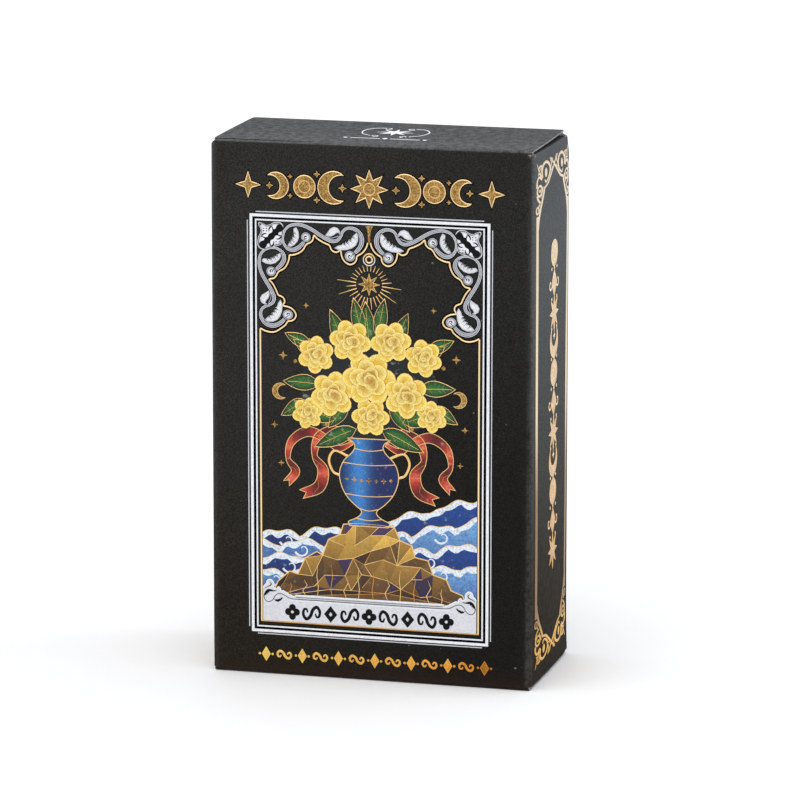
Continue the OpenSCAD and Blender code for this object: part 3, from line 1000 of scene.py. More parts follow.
def dust_flap(end, side):
    s = 1 if side == "right" else -1
    RC = 0.55
    xc = 37.45
    edge = (lambda y: 124.88 - 0.25 * (y + 17.0) / 34.0) if end == "top" else (lambda y: 125.05 - 0.13 * (y + 17.0) / 34.0)
    top = end == "top"
    flipz = (lambda p: p) if top else (lambda p: (p[0], p[1], H - p[2]))

    def yspan(q):
        """Front and back ends of the flap at a distance q from the crease."""
        y0, y1 = -16.75, 14.6
        t = min(1.0, q / 3.0)
        y0 += 0.8 * min(1.0, q / 19.0) + 0.25 * t
        y1 -= 1.6 * min(1.0, q / 19.0) + 0.1 * t
        r = 4.0
        e = max(0.0, q - (19.4 - r))
        c = r - math.sqrt(max(0.0, r * r - e * e))
        return y0 + c, y1 - c

    outer, inner, wear, crease = [], [], [], []
    m = 25

    def row(q):
        y0, y1 = yspan(q)
        t = np.linspace(-1, 1, m)
        t = np.sign(t) * (1 - (1 - np.abs(t)) ** 1.3)
        return (y0 + y1) / 2 + t * (y1 - y0) / 2

    for k in range(13):
        a = math.radians(90.0 * k / 12)
        ys = row(0.0)
        ys = ys + (0.6 - 0.6 * k / 12) * np.clip((ys + 16.55) / 31.5, 0, 1)
        outer.append([flipz((s * (xc + RC * math.cos(a)), y, edge(y) + (RC - 0.12) * math.sin(a))) for y in ys])
        inner.append([flipz((s * (xc + (RC - T) * math.cos(a)), y, edge(y) + (RC - T) * math.sin(a) - 0.12 * math.sin(a))) for y in ys])
        wear.append([0.06 + 0.12 * math.sin(math.pi * k / 12)] * m)
        # painted shadow: the outer part of the bend is near black where the lid's edge shades it
        crease.append([-0.92 * float(sstep((k - 4.2) / 1.6))] * m)
    for q in (0.4, 1.0, 2.4, 4, 6, 8, 10, 12, 13.6, 15, 16.2, 17.2, 18, 18.6, 19.1, 19.4):
        ys = row(q)
        outer.append([flipz((s * (xc - q), y, edge(y) + RC - 0.12)) for y in ys])
        inner.append([flipz((s * (xc - q), y, edge(y) + RC - T - 0.12)) for y in ys])
        wear.append([0.4 * math.exp(-(19.4 - q) / 0.5)] * m)
        # painted shadow, fading out within about half a millimetre of the bend
        crease.append([-0.92 * math.exp(-q / 0.5)] * m)
    ob = board(f"{end}_{side}_dust_flap_board", outer, inner, wear, crease=crease)
    # heights of the ends of the bend, which nothing below uses
    za, zb = 124.75, 125.45
    if not top:
        za, zb = H - za, H - zb
    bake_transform(ob)
    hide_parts(f"{end}_{side}_dust_flap")


sleeve()
top_folds()
for e_ in ("top", "bottom"):
    lid(e_)
    for s_ in ("left", "right"):
        dust_flap(e_, s_)

# ---------------------------------------------------------------- colours of the print
GOLD = (0.92, 0.60, 0.24, 0.0)
# next: a pale gold for the crowns of stamped lines, a painted highlight
GOLD_PAINTED_GLINT = (1.0, 0.84, 0.56, 0.0)
GOLD_FILL = (0.60, 0.36, 0.12, 1.0)
GOLD_PALE = (0.92, 0.70, 0.40, 0.1)
GOLD_DEEP = (0.70, 0.34, 0.09, 0.3)
WHITE = (0.86, 0.87, 0.90, 0.0)
STEM = (0.36, 0.37, 0.40, 0.0)
STEM_HI = (0.70, 0.71, 0.75, 0.0)
PLAQUE = (0.70, 0.71, 0.75, 1.0)
BLACK = (0.012, 0.011, 0.012, 0.0)


# ---------------------------------------------------------------- front: frame lines
UC = 37.535
fr = Print(on_front)


def rect(u0, v0, u1, v1):
    return [(u0, v0), (u1, v0), (u1, v1), (u0, v1)]


un = Print(on_front)        # black ground that sets the foil off from the film
NIGHT = (0.0015, 0.0015, 0.0018, 0.0)
un.line(rect(10.03, 10.98, 65.04, 108.475), 2.15, 0.016, col=NIGHT, closed=True)
fr.line(rect(9.48, 10.45, 65.59, 108.99), 0.84, 0.05, col=WHITE, closed=True)
fr.line(rect(10.58, 11.51, 64.49, 107.96), 0.46, 0.05, col=WHITE, closed=True)
LINE2 = (0.60, 0.61, 0.66, 0.0)
for P in ([(8.60, 11.3), (8.60, 107.8)], [(66.47, 11.3), (66.47, 107.8)], [(10.6, 109.84), (64.5, 109.84)], [(10.6, 9.70), (64.5, 9.70)]):
    fr.line(P, 0.30, 0.035, col=LINE2)
fr.build("front_frame_lines", M_SILVER, "carton")


# ---------------------------------------------------------------- front: scroll corners
A0, B0 = 10.85, 107.75      # inner corner of the frame
# a runs right and b down from that corner: the arm along the top is drawn, its mirror image runs down the side
STEM_PTS = [(6.75, 1.85), (7.7, 0.98), (8.93, 0.6), (10.19, 0.55), (11.87, 0.98), (13.34, 1.7), (15.02, 2.75), (16.49, 3.57), (17.86, 4.07), (19.12, 3.85), (19.96, 2.86), (20.38, 1.85), (21.1, 1.12), (22.2, 0.84), (23.45, 1.12), (24.5, 2.02), (24.98, 3.35), (24.75, 4.75), (23.95, 5.95), (22.95, 6.75)]
STEM_W = [0.62, 0.72, 0.85, 0.95, 1.0, 1.05, 1.05, 1.05, 1.0, 0.92, 0.8, 0.72, 0.75, 0.85, 1.05, 1.2, 1.3, 1.3, 1.15, 0.7]
VOL1 = [(6.85, 1.7), (6.3, 3.1), (6.28, 4.6), (6.85, 5.75), (7.75, 6.4), (8.9, 6.45), (10.0, 5.85), (10.9, 4.95), (11.45, 4.2)]
VOL1_W = [0.6, 0.55, 0.6, 0.8, 1.05, 1.25, 1.25, 1.0, 0.6]
LEAF_END = [(18.45, 5.62), (19.4, 5.0), (20.2, 4.82), (20.55, 4.35), (20.9, 4.62), (21.2, 3.98), (21.6, 4.2), (21.95, 3.42), (22.35, 3.6), (22.75, 2.78), (23.2, 2.3), (23.85, 1.75), (24.1, 2.6), (24.1, 3.7), (23.6, 4.78), (22.7, 5.5), (21.45, 5.95), (20.1, 6.08), (19.2, 5.95)]
LEAF_DROP = [(16.3, 2.8), (16.9, 2.0), (17.45, 1.15), (18.35, 0.7), (19.3, 0.95), (19.85, 1.75), (19.75, 2.5), (19.4, 2.0), (18.85, 2.2), (18.3, 2.7), (17.6, 2.98), (16.9, 3.0)]
LEAF_1 = [(9.5, 1.2), (9.98, 2.2), (10.1, 3.36), (9.75, 4.45), (8.95, 5.35), (8.1, 5.8), (7.3, 5.62), (7.62, 5.15), (7.72, 4.6), (8.15, 4.72), (8.1, 3.98), (8.58, 4.08), (8.48, 3.25), (8.92, 3.32), (8.82, 2.4), (8.75, 1.65), (9.05, 1.3)]
TICKS = [((20.62, 4.5), (21.15, 5.0)), ((21.25, 4.1), (21.85, 4.65)), ((22.0, 3.55), (22.6, 4.1)), ((22.78, 2.9), (23.25, 3.3)), ((7.75, 4.75), (8.3, 5.1)), ((8.15, 4.1), (8.85, 4.5)), ((8.55, 3.35), (9.2, 3.7)), ((8.9, 2.5), (9.35, 2.8))]
CART = [(0.5, 0.4), (1.35, 0.55), (1.90, 0.84), (2.40, 1.0), (3.29, 0.75), (3.96, 0.30), (4.79, 0.16), (5.51, 0.20), (6.07, 0.61), (6.35, 1.17), (6.40, 2.42), (6.18, 3.28), (6.12, 4.13), (5.90, 4.99), (5.62, 5.45), (4.18, 5.95), (3.40, 6.14), (2.63, 6.51), (1.85, 6.76), (0.85, 6.56), (0.24, 5.89), (0.16, 4.87), (0.41, 3.73), (0.85, 2.86), (0.96, 2.23), (0.74, 1.67), (0.45, 1.06)]
CONTOUR = [(7.75, 7.75), (8.6, 7.68), (9.6, 7.36), (10.5, 6.85), (11.1, 6.25), (11.6, 5.35), (12.1, 4.9), (12.75, 4.6), (13.35, 3.95), (13.62, 2.94), (14.4, 3.6), (15.2, 4.12), (16.3, 4.65), (17.3, 5.1), (17.75, 6.05), (18.35, 6.5), (19.1, 6.55), (19.9, 6.1), (20.17, 7.3), (20.55, 8.2), (21.2, 8.9), (22.16, 9.3), (23.1, 8.95), (23.65, 8.2), (23.84, 7.3), (24.7, 6.75), (25.5, 6.0), (26.05, 5.1), (26.36, 4.1)]
CONTOUR_V = CONTOUR[:26] + [(25.6, 5.6), (26.35, 4.4), (26.55, 3.2), (26.3, 1.9), (25.85, 0.98), (25.85, 0.72)]

sc = Print(on_front, under=0.06)
dk = Print(on_front, under=0.06)
gl = Print(on_front)


def corner(sx):
    """Places (a right, b down) of the left corner, or its mirror image, on the front."""
    def put(P, swap=False):
        P = np.array(P, float)
        if swap:
            P = P[:, ::-1]
            P = P - np.stack([0 * P[:, 1], 0.55 * sstep((P[:, 1] - 14.0) / 11.0)], 1)
        u = A0 + P[:, 0]
        v = B0 - P[:, 1]
        if sx < 0:
            u = 2 * UC - u
        return np.stack([u, v], 1)
    return put


def leaf_tint(V, d):
    k = np.clip(d / 0.42, 0, 1)[:, None]
    a = np.array([0.50, 0.51, 0.55, 0.0])
    b = np.array(WHITE)
    return a * (1 - k) + b * k


def gold_line(pr, pts, w, h=0.05, closed=False, col=GOLD, glint_col=GOLD_PAINTED_GLINT):
    """A stamped line: a gold band with a paler crown, a painted highlight."""
    pr.line(pts, w, h, col=col, closed=closed)
    pr.line(pts, w * 0.42, h + 0.022, base=h * 0.5, col=glint_col, closed=closed)


for sx in (1, -1):
    put = corner(sx)
    for swap in (False, True):
        q = lambda P: put(P, swap)
        # stems: pale edges, a grey body that lightens to the middle, a bright middle line
        for pts, ww in ((STEM_PTS, STEM_W), (VOL1, VOL1_W)):
            c = catmull(pts, 5)
            w = np.interp(np.linspace(0, len(ww) - 1, len(c)), range(len(ww)), ww)
            dk.line(q(c), w + 0.66, 0.018, col=NIGHT)
            sc.line(q(c), w + 0.20, 0.030, col=(0.74, 0.75, 0.80, 0))
            dk.line(q(c), np.maximum(0.10, w - 0.16), 0.044, col=(0.17, 0.173, 0.19, 0))
            dk.line(q(c), np.maximum(0.08, w * 0.58), 0.056, col=(0.33, 0.335, 0.365, 0))
            sc.line(q(c), np.maximum(0.07, w * 0.20), 0.066, col=(0.56, 0.57, 0.61, 0))
        # leaves over the stems, each with a dark gap round it
        for P in (LEAF_END, LEAF_DROP, LEAF_1):
            dk.line(q(P), 0.34, 0.068, col=BLACK, closed=True)
            sc.fill(q(P), 0.078, col=leaf_tint, step=0.4, dome=0.025, soft=0.4)
            dk.line(q(P), 0.09, 0.088, col=(0.30, 0.305, 0.33, 0), closed=True)
        for p0, p1 in TICKS:
            p0, p1 = np.array(p0), np.array(p1)
            dk.line(q([p0, p0 + (p1 - p0) * 1.25]), [0.30, 0.08], 0.114, col=BLACK)
            m_ = p0 + np.array([(p1 - p0)[1], -(p1 - p0)[0]]) * 0.42
            dk.line(q([m_, m_ + (p1 - p0) * 0.95]), [0.13, 0.05], 0.114, col=(0.10, 0.10, 0.11, 0))
        dk.line(q(catmull([(23.55, 3.1), (22.9, 4.3), (21.8, 5.15), (20.1, 5.6)], 5)), np.linspace(0.14, 0.05, 16), 0.108, col=(0.30, 0.305, 0.33, 0))
        dk.line(q(catmull([(9.5, 2.0), (9.6, 3.3), (9.1, 4.4), (8.3, 5.2)], 5)), np.linspace(0.05, 0.14, 16), 0.108, col=(0.30, 0.305, 0.33, 0))
        dk.line(q(catmull([(17.0, 2.6), (17.7, 1.9), (18.6, 1.45), (19.3, 1.5)], 5)), 0.10, 0.108, col=(0.26, 0.265, 0.29, 0))
        # tail of the small leaf
        sc.line(q(catmull([(16.6, 3.1), (17.6, 3.35), (18.7, 3.1), (19.4, 2.75)], 5)), 0.16, 0.072, col=(0.50, 0.51, 0.55, 0))
        # curled ends with a dark comma
        for cx, cy, r, a0 in ((22.15, 7.35, 1.12, 60), (11.72, 3.4, 1.02, 100)):
            dk.fill(q(circle(cx, cy, r + 0.26, 22)), 0.060, col=BLACK, step=0.6)
            sc.fill(q(circle(cx, cy, r + 0.10, 22)), 0.070, col=(0.42, 0.43, 0.47, 0), step=0.6)
            sc.fill(q(circle(cx, cy, r * 0.84, 22)), 0.082, col=leaf_tint, step=0.4, dome=0.025, soft=0.4)
            dk.line(q(circle(cx, cy, r * 0.86, 22)), 0.12, 0.108, col=(0.16, 0.163, 0.18, 0), closed=True)
            dk.line(q(spiral(cx, cy, 0.50 * r, 0.10, a0, a0 + 230, 14)), np.linspace(0.20, 0.62, 14), 0.112, col=BLACK)
            dk.line(q([(cx + 0.15, cy + 0.2), (cx + (0.95 if cx > 15 else -0.75) * r, cy - (0.75 if cx > 15 else -0.8) * r)]), [0.42, 0.10], 0.110, col=(0.05, 0.05, 0.06, 0))
        un.line(put(catmull(CONTOUR_V if swap else CONTOUR, 4), swap), 1.42, 0.020, col=NIGHT)
        gold_line(gl, put(catmull(CONTOUR_V if swap else CONTOUR, 4), swap), 0.48, 0.055)
    # cartouche: an open bracketed square, white scalloped field and a dark diagonal slot with hooks
    q = lambda P: put(P)
    c = catmull(CART, 4, closed=True)
    mid_ = np.array([3.5, 3.55])
    sc.fill(q(c), 0.040, col=(0.78, 0.79, 0.83, 0), step=1.0)
    dk.fill(q(mid_ + (c - mid_) * 0.955), 0.046, col=(0.13, 0.133, 0.15, 0), step=1.0)
    sc.fill(q(mid_ + (c - mid_) * 0.885), 0.054, col=leaf_tint, step=0.5, dome=0.02, soft=0.25)
    k = 1 / math.sqrt(2)
    diag = lambda s_, t_: (3.5 + k * (s_ + t_), 3.55 + k * (-s_ + t_))
    # a dark bar with broad ends across the field, bitten by round bulbs, and on both sides two hooks that curl towards its middle
    side_ = [(-3.66, 0.0), (-3.60, 0.42), (-3.38, 0.78), (-3.0, 0.90), (-2.62, 0.86), (-2.36, 0.78), (-2.16, 0.66), (-1.96, 0.62), (-1.76, 0.66), (-1.5, 0.86), (-1.2, 0.84), (-1.0, 0.66), (-0.77, 0.58), (-0.54, 0.62), (-0.25, 0.74), (0.0, 0.78)]
    half = side_ + [(-a, b) for a, b in side_[::-1][1:]]
    dk.fill(q([diag(a, b) for a, b in half] + [diag(a, -b) for a, b in half[::-1]][1:-1]), 0.090, col=BLACK, step=0.6)
    for t_ in (-1, 1):
        for s_ in (-1, 1):
            dk.line(q(catmull([diag(s_ * 1.36, t_ * 0.7), diag(s_ * 1.52, t_ * 1.1), diag(s_ * 1.72, t_ * 1.46)], 4)), np.linspace(0.5, 0.3, 9), 0.093, col=BLACK)
            dk.line(q(catmull([diag(s_ * 1.95, t_ * 1.58), diag(s_ * 1.5, t_ * 1.66), diag(s_ * 1.1, t_ * 1.66), diag(s_ * 0.68, t_ * 1.50), diag(s_ * 0.42, t_ * 1.16)], 5)), np.interp(np.linspace(0, 4, 21), range(5), [0.14, 0.42, 0.46, 0.40, 0.18]), 0.095, col=BLACK)
        ca, cb = diag(0.0, t_ * 2.12)
        for da in (-0.36, 0.36):
            for db in (-0.28, 0.28):
                dk.fill(q([(ca + da - 0.19, cb + db), (ca + da, cb + db + 0.15), (ca + da + 0.19, cb + db), (ca + da, cb + db - 0.15)]), 0.093, col=(0.02, 0.02, 0.026, 0))
    # beads in the frame's corner
    dk.fill(q([(0.14, 0.1), (0.5, 0.1), (0.5, 0.42), (0.14, 0.42)]), 0.060, col=BLACK)
    for da, db in ((1.0, 0.2), (0.18, 1.06), (0.9, 0.95)):
        dk.fill(q(circle(da, db, 0.17, 8)), 0.075, col=BLACK)
sc.build("front_scrolls", M_SILVER, "carton")
dk.build("front_scroll_shading", M_SHADE, "carton")

# drop at the top centre, side lines and foot line of the inner gold line
gl.fill([(UC - 0.95, B0 - 0.2), (UC + 0.95, B0 - 0.2), (UC + 0.5, B0 - 0.95), (UC + 0.3, B0 - 1.8), (UC + 0.24, B0 - 3.6), (UC + 0.42, B0 - 4.4), (UC, B0 - 3.9), (UC - 0.42, B0 - 4.4), (UC - 0.24, B0 - 3.6), (UC - 0.3, B0 - 1.8), (UC - 0.5, B0 - 0.95)], 0.05, col=GOLD_FILL, step=0.5)
for u in (A0 + 0.72, 2 * UC - A0 - 0.72):
    gold_line(gl, [(u, B0 - 25.3), (u, 12.83)], 0.46, 0.05)
gl.line([(A0 + 0.55, 12.83), (2 * UC - A0 - 0.55, 12.83)], 0.40, 0.05, col=(0.80, 0.44, 0.14, 0.2))

# ring under the drop
rg = Print(on_front)
rg.line(circle(UC, 99.75, 1.36, 30), 0.28, 0.05, col=(0.74, 0.75, 0.78, 0), closed=True)
rg.build("front_ring", M_SILVER, "carton")
gold_line(gl, circle(UC, 99.78, 0.74, 24), 0.40, 0.05, closed=True)
gl.line(arc(UC, 99.75, 1.36, 20, 160, 16), 0.34, 0.062, col=GOLD)
gl.build("front_gold_lines", M_GOLD, "carton")

# ---------------------------------------------------------------- front: title band, a row of moons and stars
tb = Print(on_front)


def gold_shape(pr, P, step=0.55, rim=0.30, col=GOLD_FILL, rimcol=GOLD, h=0.05):
    un.line(np.array(P), rim + 0.62, 0.018, col=NIGHT, closed=True)
    pr.fill(P, h, col=col, step=step, dome=0.02)
    pr.line(np.array(P), rim, h + 0.035, col=rimcol, closed=True)
    # a pale line along the rim of wider shapes: painted highlight
    if rim > 0.2:
        pr.line(np.array(P), rim * 0.4, h + 0.055, base=h, col=(1.0, 0.82, 0.56, 0.0), closed=True)


def title():
    cv = 116.0
    gold_shape(tb, star(UC, cv, 4.3, 2.1, 8, 90))
    tb.line(circle(UC, cv, 1.35, 24), 0.3, 0.10, col=GOLD, closed=True)
    for s in (1, -1):
        f = lambda d: UC + s * d
        gold_shape(tb, crescent(f(8.4), cv, 3.7, 0 if s < 0 else 180, 0.80, 0.46))
        gold_shape(tb, star(f(6.3), cv, 0.9, 0.36, 4, 90), step=None, rim=0.12)
        gold_shape(tb, circle(f(15.3), cv, 2.55, 30))
        tb.line(circle(f(15.3), cv, 1.35, 24), 0.26, 0.10, col=GOLD, closed=True)
        gold_shape(tb, star(f(12.35), cv + 2.95, 0.75, 0.3, 4, 90), step=None, rim=0.1)
        gold_shape(tb, star(f(12.35), cv - 2.95, 0.75, 0.3, 4, 90), step=None, rim=0.1)
        gold_shape(tb, crescent(f(22.1), cv, 3.0, 180 if s < 0 else 0, 0.80, 0.46))
        gold_shape(tb, star(f(23.6), cv, 0.8, 0.32, 4, 90), step=None, rim=0.1)
        gold_shape(tb, star(f(28.7), cv, 2.9, 0.95, 4, 90))
        gold_shape(tb, star(f(18.7), cv + 2.2, 0.6, 0.25, 4, 90), step=None, rim=0.08)
        gold_shape(tb, star(f(18.7), cv - 2.2, 0.6, 0.25, 4, 90), step=None, rim=0.08)


title()
tb.build("front_moon_row", M_GOLD, "carton")
un.build("front_print_ground", M_SHADE, "carton")

# ---------------------------------------------------------------- front: lower row of curls and lozenges
S_CURL = [(-0.75, -0.05), (-1.0, -0.5), (-1.5, -0.4), (-1.62, 0.3), (-1.05, 0.85), (-0.25, 0.45), (0.25, -0.45), (1.05, -0.85), (1.62, -0.3), (1.5, 0.4), (1.0, 0.5), (0.75, 0.05)]
lr = Print(on_front)
for i in range(13):
    u = 12.6 + i * (65.1 - 12.6) / 12
    t = i / 12.0
    # colours run from yellow to a deeper orange along the row; the last ones darken, painted shade towards the right
    # end
    col = tuple((1 - t) * a + t * b for a, b in zip((1.0, 0.66, 0.16, 0.30), (0.92, 0.36, 0.05, 0.45)))
    if t > 0.85:
        col = tuple(c_ * (1 - 2.4 * (t - 0.85)) for c_ in col[:3]) + (0.8,)
    if i % 2 == 0:
        P = [(u - 1.0, 4.85), (u, 6.5), (u + 1.0, 4.85), (u, 3.2)]
        lr.fill(P, 0.045, col=col, step=0.5)
        lr.line(P, 0.2, 0.06, col=(*[min(1.0, 1.15 * c_) for c_ in col[:3]], 0), closed=True)
        for s in (-1, 1):
            lr.fill(circle(u + s * 1.55, 4.85, 0.3, 12), 0.05, col=col)
    else:
        c = catmull([(u + a, 4.85 + b) for a, b in S_CURL], 5)
        lr.line(c, 0.34 + 0.38 * np.sin(np.linspace(0, math.pi, len(c))), 0.055, col=(*col[:3], 0.35))
lr.build("front_lower_row", M_GOLD, "carton")

# ---------------------------------------------------------------- front: plaque
pq = Print(on_front, under=0.06)
pk = Print(on_front, under=0.06)
UL, UR = 11.95, 2 * UC - 11.95
# top edge of the right end: a step, a rising wave, a small tip and a curl against the frame
ear = [(55.35, 19.55), (55.62, 19.12), (56.2, 19.22), (57.03, 19.66), (57.7, 20.05), (58.3, 20.34), (58.78, 20.25), (58.92, 20.8), (59.4, 21.2), (59.85, 20.72), (60.5, 21.02), (60.5, 21.7), (60.72, 22.45), (61.35, 22.87), (62.05, 22.62), (62.32, 21.85), (62.8, 21.32), (63.1, 20.8)]
turn = lambda P: np.stack([2 * UC - np.array(P, float)[:, 0], np.array(P, float)[:, 1]], 1)
keep_ = lambda P: np.array(P, float)
poly = np.concatenate([[(UL, 13.0), (UR, 13.0)], np.array(ear)[::-1], turn(ear)])
PH = 0.195                  # the plaque lies over the foot of the picture
pq.fill(poly, PH, col=PLAQUE, step=1.1)
for g in (keep_, turn):
    pq.line(g(catmull(ear[1:], 4)), 0.30, PH + 0.02, col=WHITE)
    # curl's comma
    pk.line(g(catmull([(62.83, 20.65), (62.0, 21.12), (61.3, 21.48), (61.17, 22.0), (61.5, 22.3)], 5)), np.interp(np.linspace(0, 4, 21), range(5), [0.14, 0.26, 0.36, 0.32, 0.12]), PH + 0.025, col=BLACK)
    # dark leaf round the ball, with a toothed inner edge
    pk.fill(g([(59.7, 20.42), (60.2, 20.34), (60.7, 20.36), (61.2, 20.56), (61.7, 20.62), (62.2, 20.42), (62.6, 19.95), (62.9, 19.3), (62.97, 18.6), (62.7, 18.9), (62.55, 19.15), (62.3, 19.0), (62.3, 19.42), (61.98, 19.3), (61.98, 19.75), (61.62, 19.62), (61.55, 20.02), (61.1, 20.02), (60.6, 20.08), (60.1, 20.16)]), PH + 0.03, col=BLACK)
    pk.line(g(catmull([(62.92, 18.9), (62.75, 18.2), (62.4, 17.75), (61.82, 17.5), (61.15, 17.72), (60.53, 18.37), (60.25, 18.95), (59.6, 19.5), (58.87, 19.64), (57.95, 19.32), (57.03, 18.82), (56.0, 18.56), (54.6, 18.5)], 5)), 0.24, PH + 0.025, col=(0.035, 0.036, 0.042, 0))
    pk.fill(g([(58.25, 18.80), (58.55, 18.3), (58.9, 17.95), (59.5, 17.6), (60.1, 17.75), (60.5, 18.35), (60.05, 18.1), (59.75, 18.3), (59.55, 18.15), (59.3, 18.45), (59.0, 18.35), (58.8, 18.65)]), PH + 0.03, col=BLACK)
pq.line([(2 * UC - 55.3, 19.42), (55.3, 19.42)], 0.36, PH + 0.02, col=WHITE)
pk.line([(2 * UC - 55.2, 18.98), (55.2, 18.98)], 0.26, PH + 0.02, col=(0.14, 0.143, 0.155, 0))
pk.line([(2 * UC - 54.8, 18.50), (54.8, 18.50)], 0.30, PH + 0.02, col=(0.09, 0.092, 0.10, 0))
pq.line([(2 * UC - 54.6, 18.74), (54.6, 18.74)], 0.16, PH + 0.02, col=(0.45, 0.46, 0.5, 0))
pq.line([(2 * UC - 57.0, 18.14), (57.0, 18.14)], 0.30, PH + 0.015, col=WHITE)
# black quatrefoils, curls and lozenges in a row, about as heavy as bold print
for i in range(-4, 5):
    u = UC + i * 4.62
    v = 15.4
    if i in (-4, 0, 4):
        for a_ in range(4):
            ca, sa = math.cos(math.radians(90 * a_)), math.sin(math.radians(90 * a_))
            pk.fill(circle(u + 0.98 * ca, v + 1.05 * sa, 0.82, 16, 0.86), PH + 0.025, col=BLACK)
        pk.fill(circle(u, v, 0.75, 14), PH + 0.03, col=BLACK)
        pk.fill(circle(u, v, 0.36, 10), PH + 0.048, col=(*PLAQUE[:3], 0.2))
    elif i % 2 == 0:
        pk.fill([(u - 1.6, v), (u, v + 2.0), (u + 1.6, v), (u, v - 2.0)], PH + 0.025, col=BLACK)
        pk.fill([(u - 0.42, v), (u, v + 0.55), (u + 0.42, v), (u, v - 0.55)], PH + 0.045, col=(*PLAQUE[:3], 0.2))
    else:
        c = catmull([(u + 1.22 * a * (1 if i > 0 else -1), v + 1.75 * b) for a, b in S_CURL], 5)
        pk.line(c, 0.52 + 0.58 * np.sin(np.linspace(0, math.pi, len(c))), PH + 0.025, col=BLACK)
pq.build("front_plaque", M_SILVER, "carton")
pk.build("front_plaque_print", M_SHADE, "carton")

# ---------------------------------------------------------------- front: picture, a vase of roses on a rock above waves
pc = Print(on_front)
po = Print(on_front)     # gold outlines


def shade(lo, hi, v0, v1, alpha=0.8, axis=1, wob=0.0):
    lo, hi = np.array(lo), np.array(hi)

    def f(V, d):
        t = (V[:, axis] - v0) / (v1 - v0) + wob * np.sin(V[:, 0] * 1.7) * np.cos(V[:, 1] * 1.3)
        t = np.clip(t, 0, 1)[:, None]
        c = lo * (1 - t) + hi * t
        return np.concatenate([c, np.full((len(V), 1), alpha)], 1)
    return f


def outlined(P, col, h, step=None, w=0.26, goldcol=GOLD, dome=0.0):
    pc.fill(P, h, col=col, step=step, dome=dome)
    po.line(P, w, h + 0.045, col=goldcol, closed=True)


NAVY, BLUE, SKY, FOAM = lin(16, 22, 74), lin(20, 70, 150), lin(120, 170, 220), lin(228, 236, 246)
PL, PR = 11.9, 2 * UC - 11.9
# waves: four bands from the back to the front, each with a foam edge
wave_sets = [
    (44.0, 33.0, 4.2, 0.0, 0.030, NAVY, BLUE),
    (38.5, 30.5, 4.6, 1.4, 0.036, BLUE, SKY),
    (33.0, 27.5, 4.0, 2.9, 0.042, NAVY, BLUE),
    (28.0, 24.0, 3.4, 4.1, 0.048, BLUE, SKY),
]
for hr, hl, amp, ph, hh, c0, c1 in wave_sets:
    us = np.linspace(PL, PR, 70)
    t = (us - PL) / (PR - PL)
    crest = hl + (hr - hl) * t ** 1.6 + amp * 0.42 * np.abs(np.sin(us * 0.30 + ph)) ** 0.7 + 0.35 * np.sin(us * 1.1 + ph)
    top = np.stack([us, crest], 1)
    P = np.concatenate([[(PL, 19.0), (PR, 19.0)], top[::-1]])
    pc.fill(P, hh, col=shade(c0, c1, crest.min() - 7, crest.max(), 0.75, 1, 0.12), step=1.5)
    foam = np.concatenate([top, (top - np.stack([np.zeros_like(us), 0.9 + 0.8 * np.abs(np.sin(us * 0.9 + ph * 2))], 1))[::-1]])
    pc.fill(foam, hh + 0.012, col=(*FOAM, 0.7), step=0.8)
    po.line(top, 0.24, hh + 0.045, col=GOLD)
    # spray curls along the crest
    for k in range(3):
        uu = PL + 6 + 19 * k + 4 * math.sin(ph + k)
        if uu > PR - 4:
            continue
        i = int(np.argmin(np.abs(us - uu)))
        cc = spiral(us[i], crest[i] - 2.4, 0.35, 1.9, 140, -160, 20)
        pc.line(cc, np.linspace(0.25, 0.75, 20), hh + 0.03, col=(*FOAM, 0.4))
# rock: flat facets, bright at the top and dark at the foot, with gold along the edges and cracks below
rs_ = np.random.RandomState(23)
CREST = [(14.2, 19.4), (15.6, 22.6), (18.4, 25.2), (20.4, 24.6), (22.2, 28.6), (25.0, 30.3), (26.4, 29.5), (27.8, 33.4), (30.6, 34.7), (31.4, 37.2), (34.4, 37.6), (40.4, 37.5), (43.6, 37.1), (44.9, 34.1), (47.8, 33.0), (48.5, 30.3), (51.6, 29.7), (52.8, 26.4), (56.0, 25.4), (57.1, 22.9), (59.8, 21.9), (60.9, 19.4)]
ROCK = [(14.4, 18.8)] + CREST + [(60.7, 18.8)]
inner_ = np.array([(u_ + rs_.uniform(-1.1, 1.1), v_ + rs_.uniform(-0.9, 0.9)) for r_, v_ in enumerate((21.6, 25.0, 28.6, 32.0, 35.0)) for u_ in np.arange(17.0 + 2.0 * (r_ % 2), 60.0, 4.0)])
inner_ = inner_[inside(ROCK, inner_)]
inner_ = inner_[dist_to(ROCK, inner_) > 1.1]
nr_ = len(ROCK)
rv_, re_, rf_, *_ = delaunay_2d_cdt([Vector(p_) for p_ in ROCK] + [Vector(p_) for p_ in inner_], [(i, (i + 1) % nr_) for i in range(nr_)], [list(range(nr_))], 1, 1e-6)
RV = np.array([(q_.x, q_.y) for q_ in rv_])
hgt_ = rs_.uniform(0.0, 1.0, len(RV)) + 0.05 * RV[:, 1]
LIT, WARM, PLUM, DARK = (np.array(lin(*c_)) for c_ in ((236, 190, 84), (168, 104, 38), (62, 44, 78), (26, 17, 16)))
edge_tone = {}
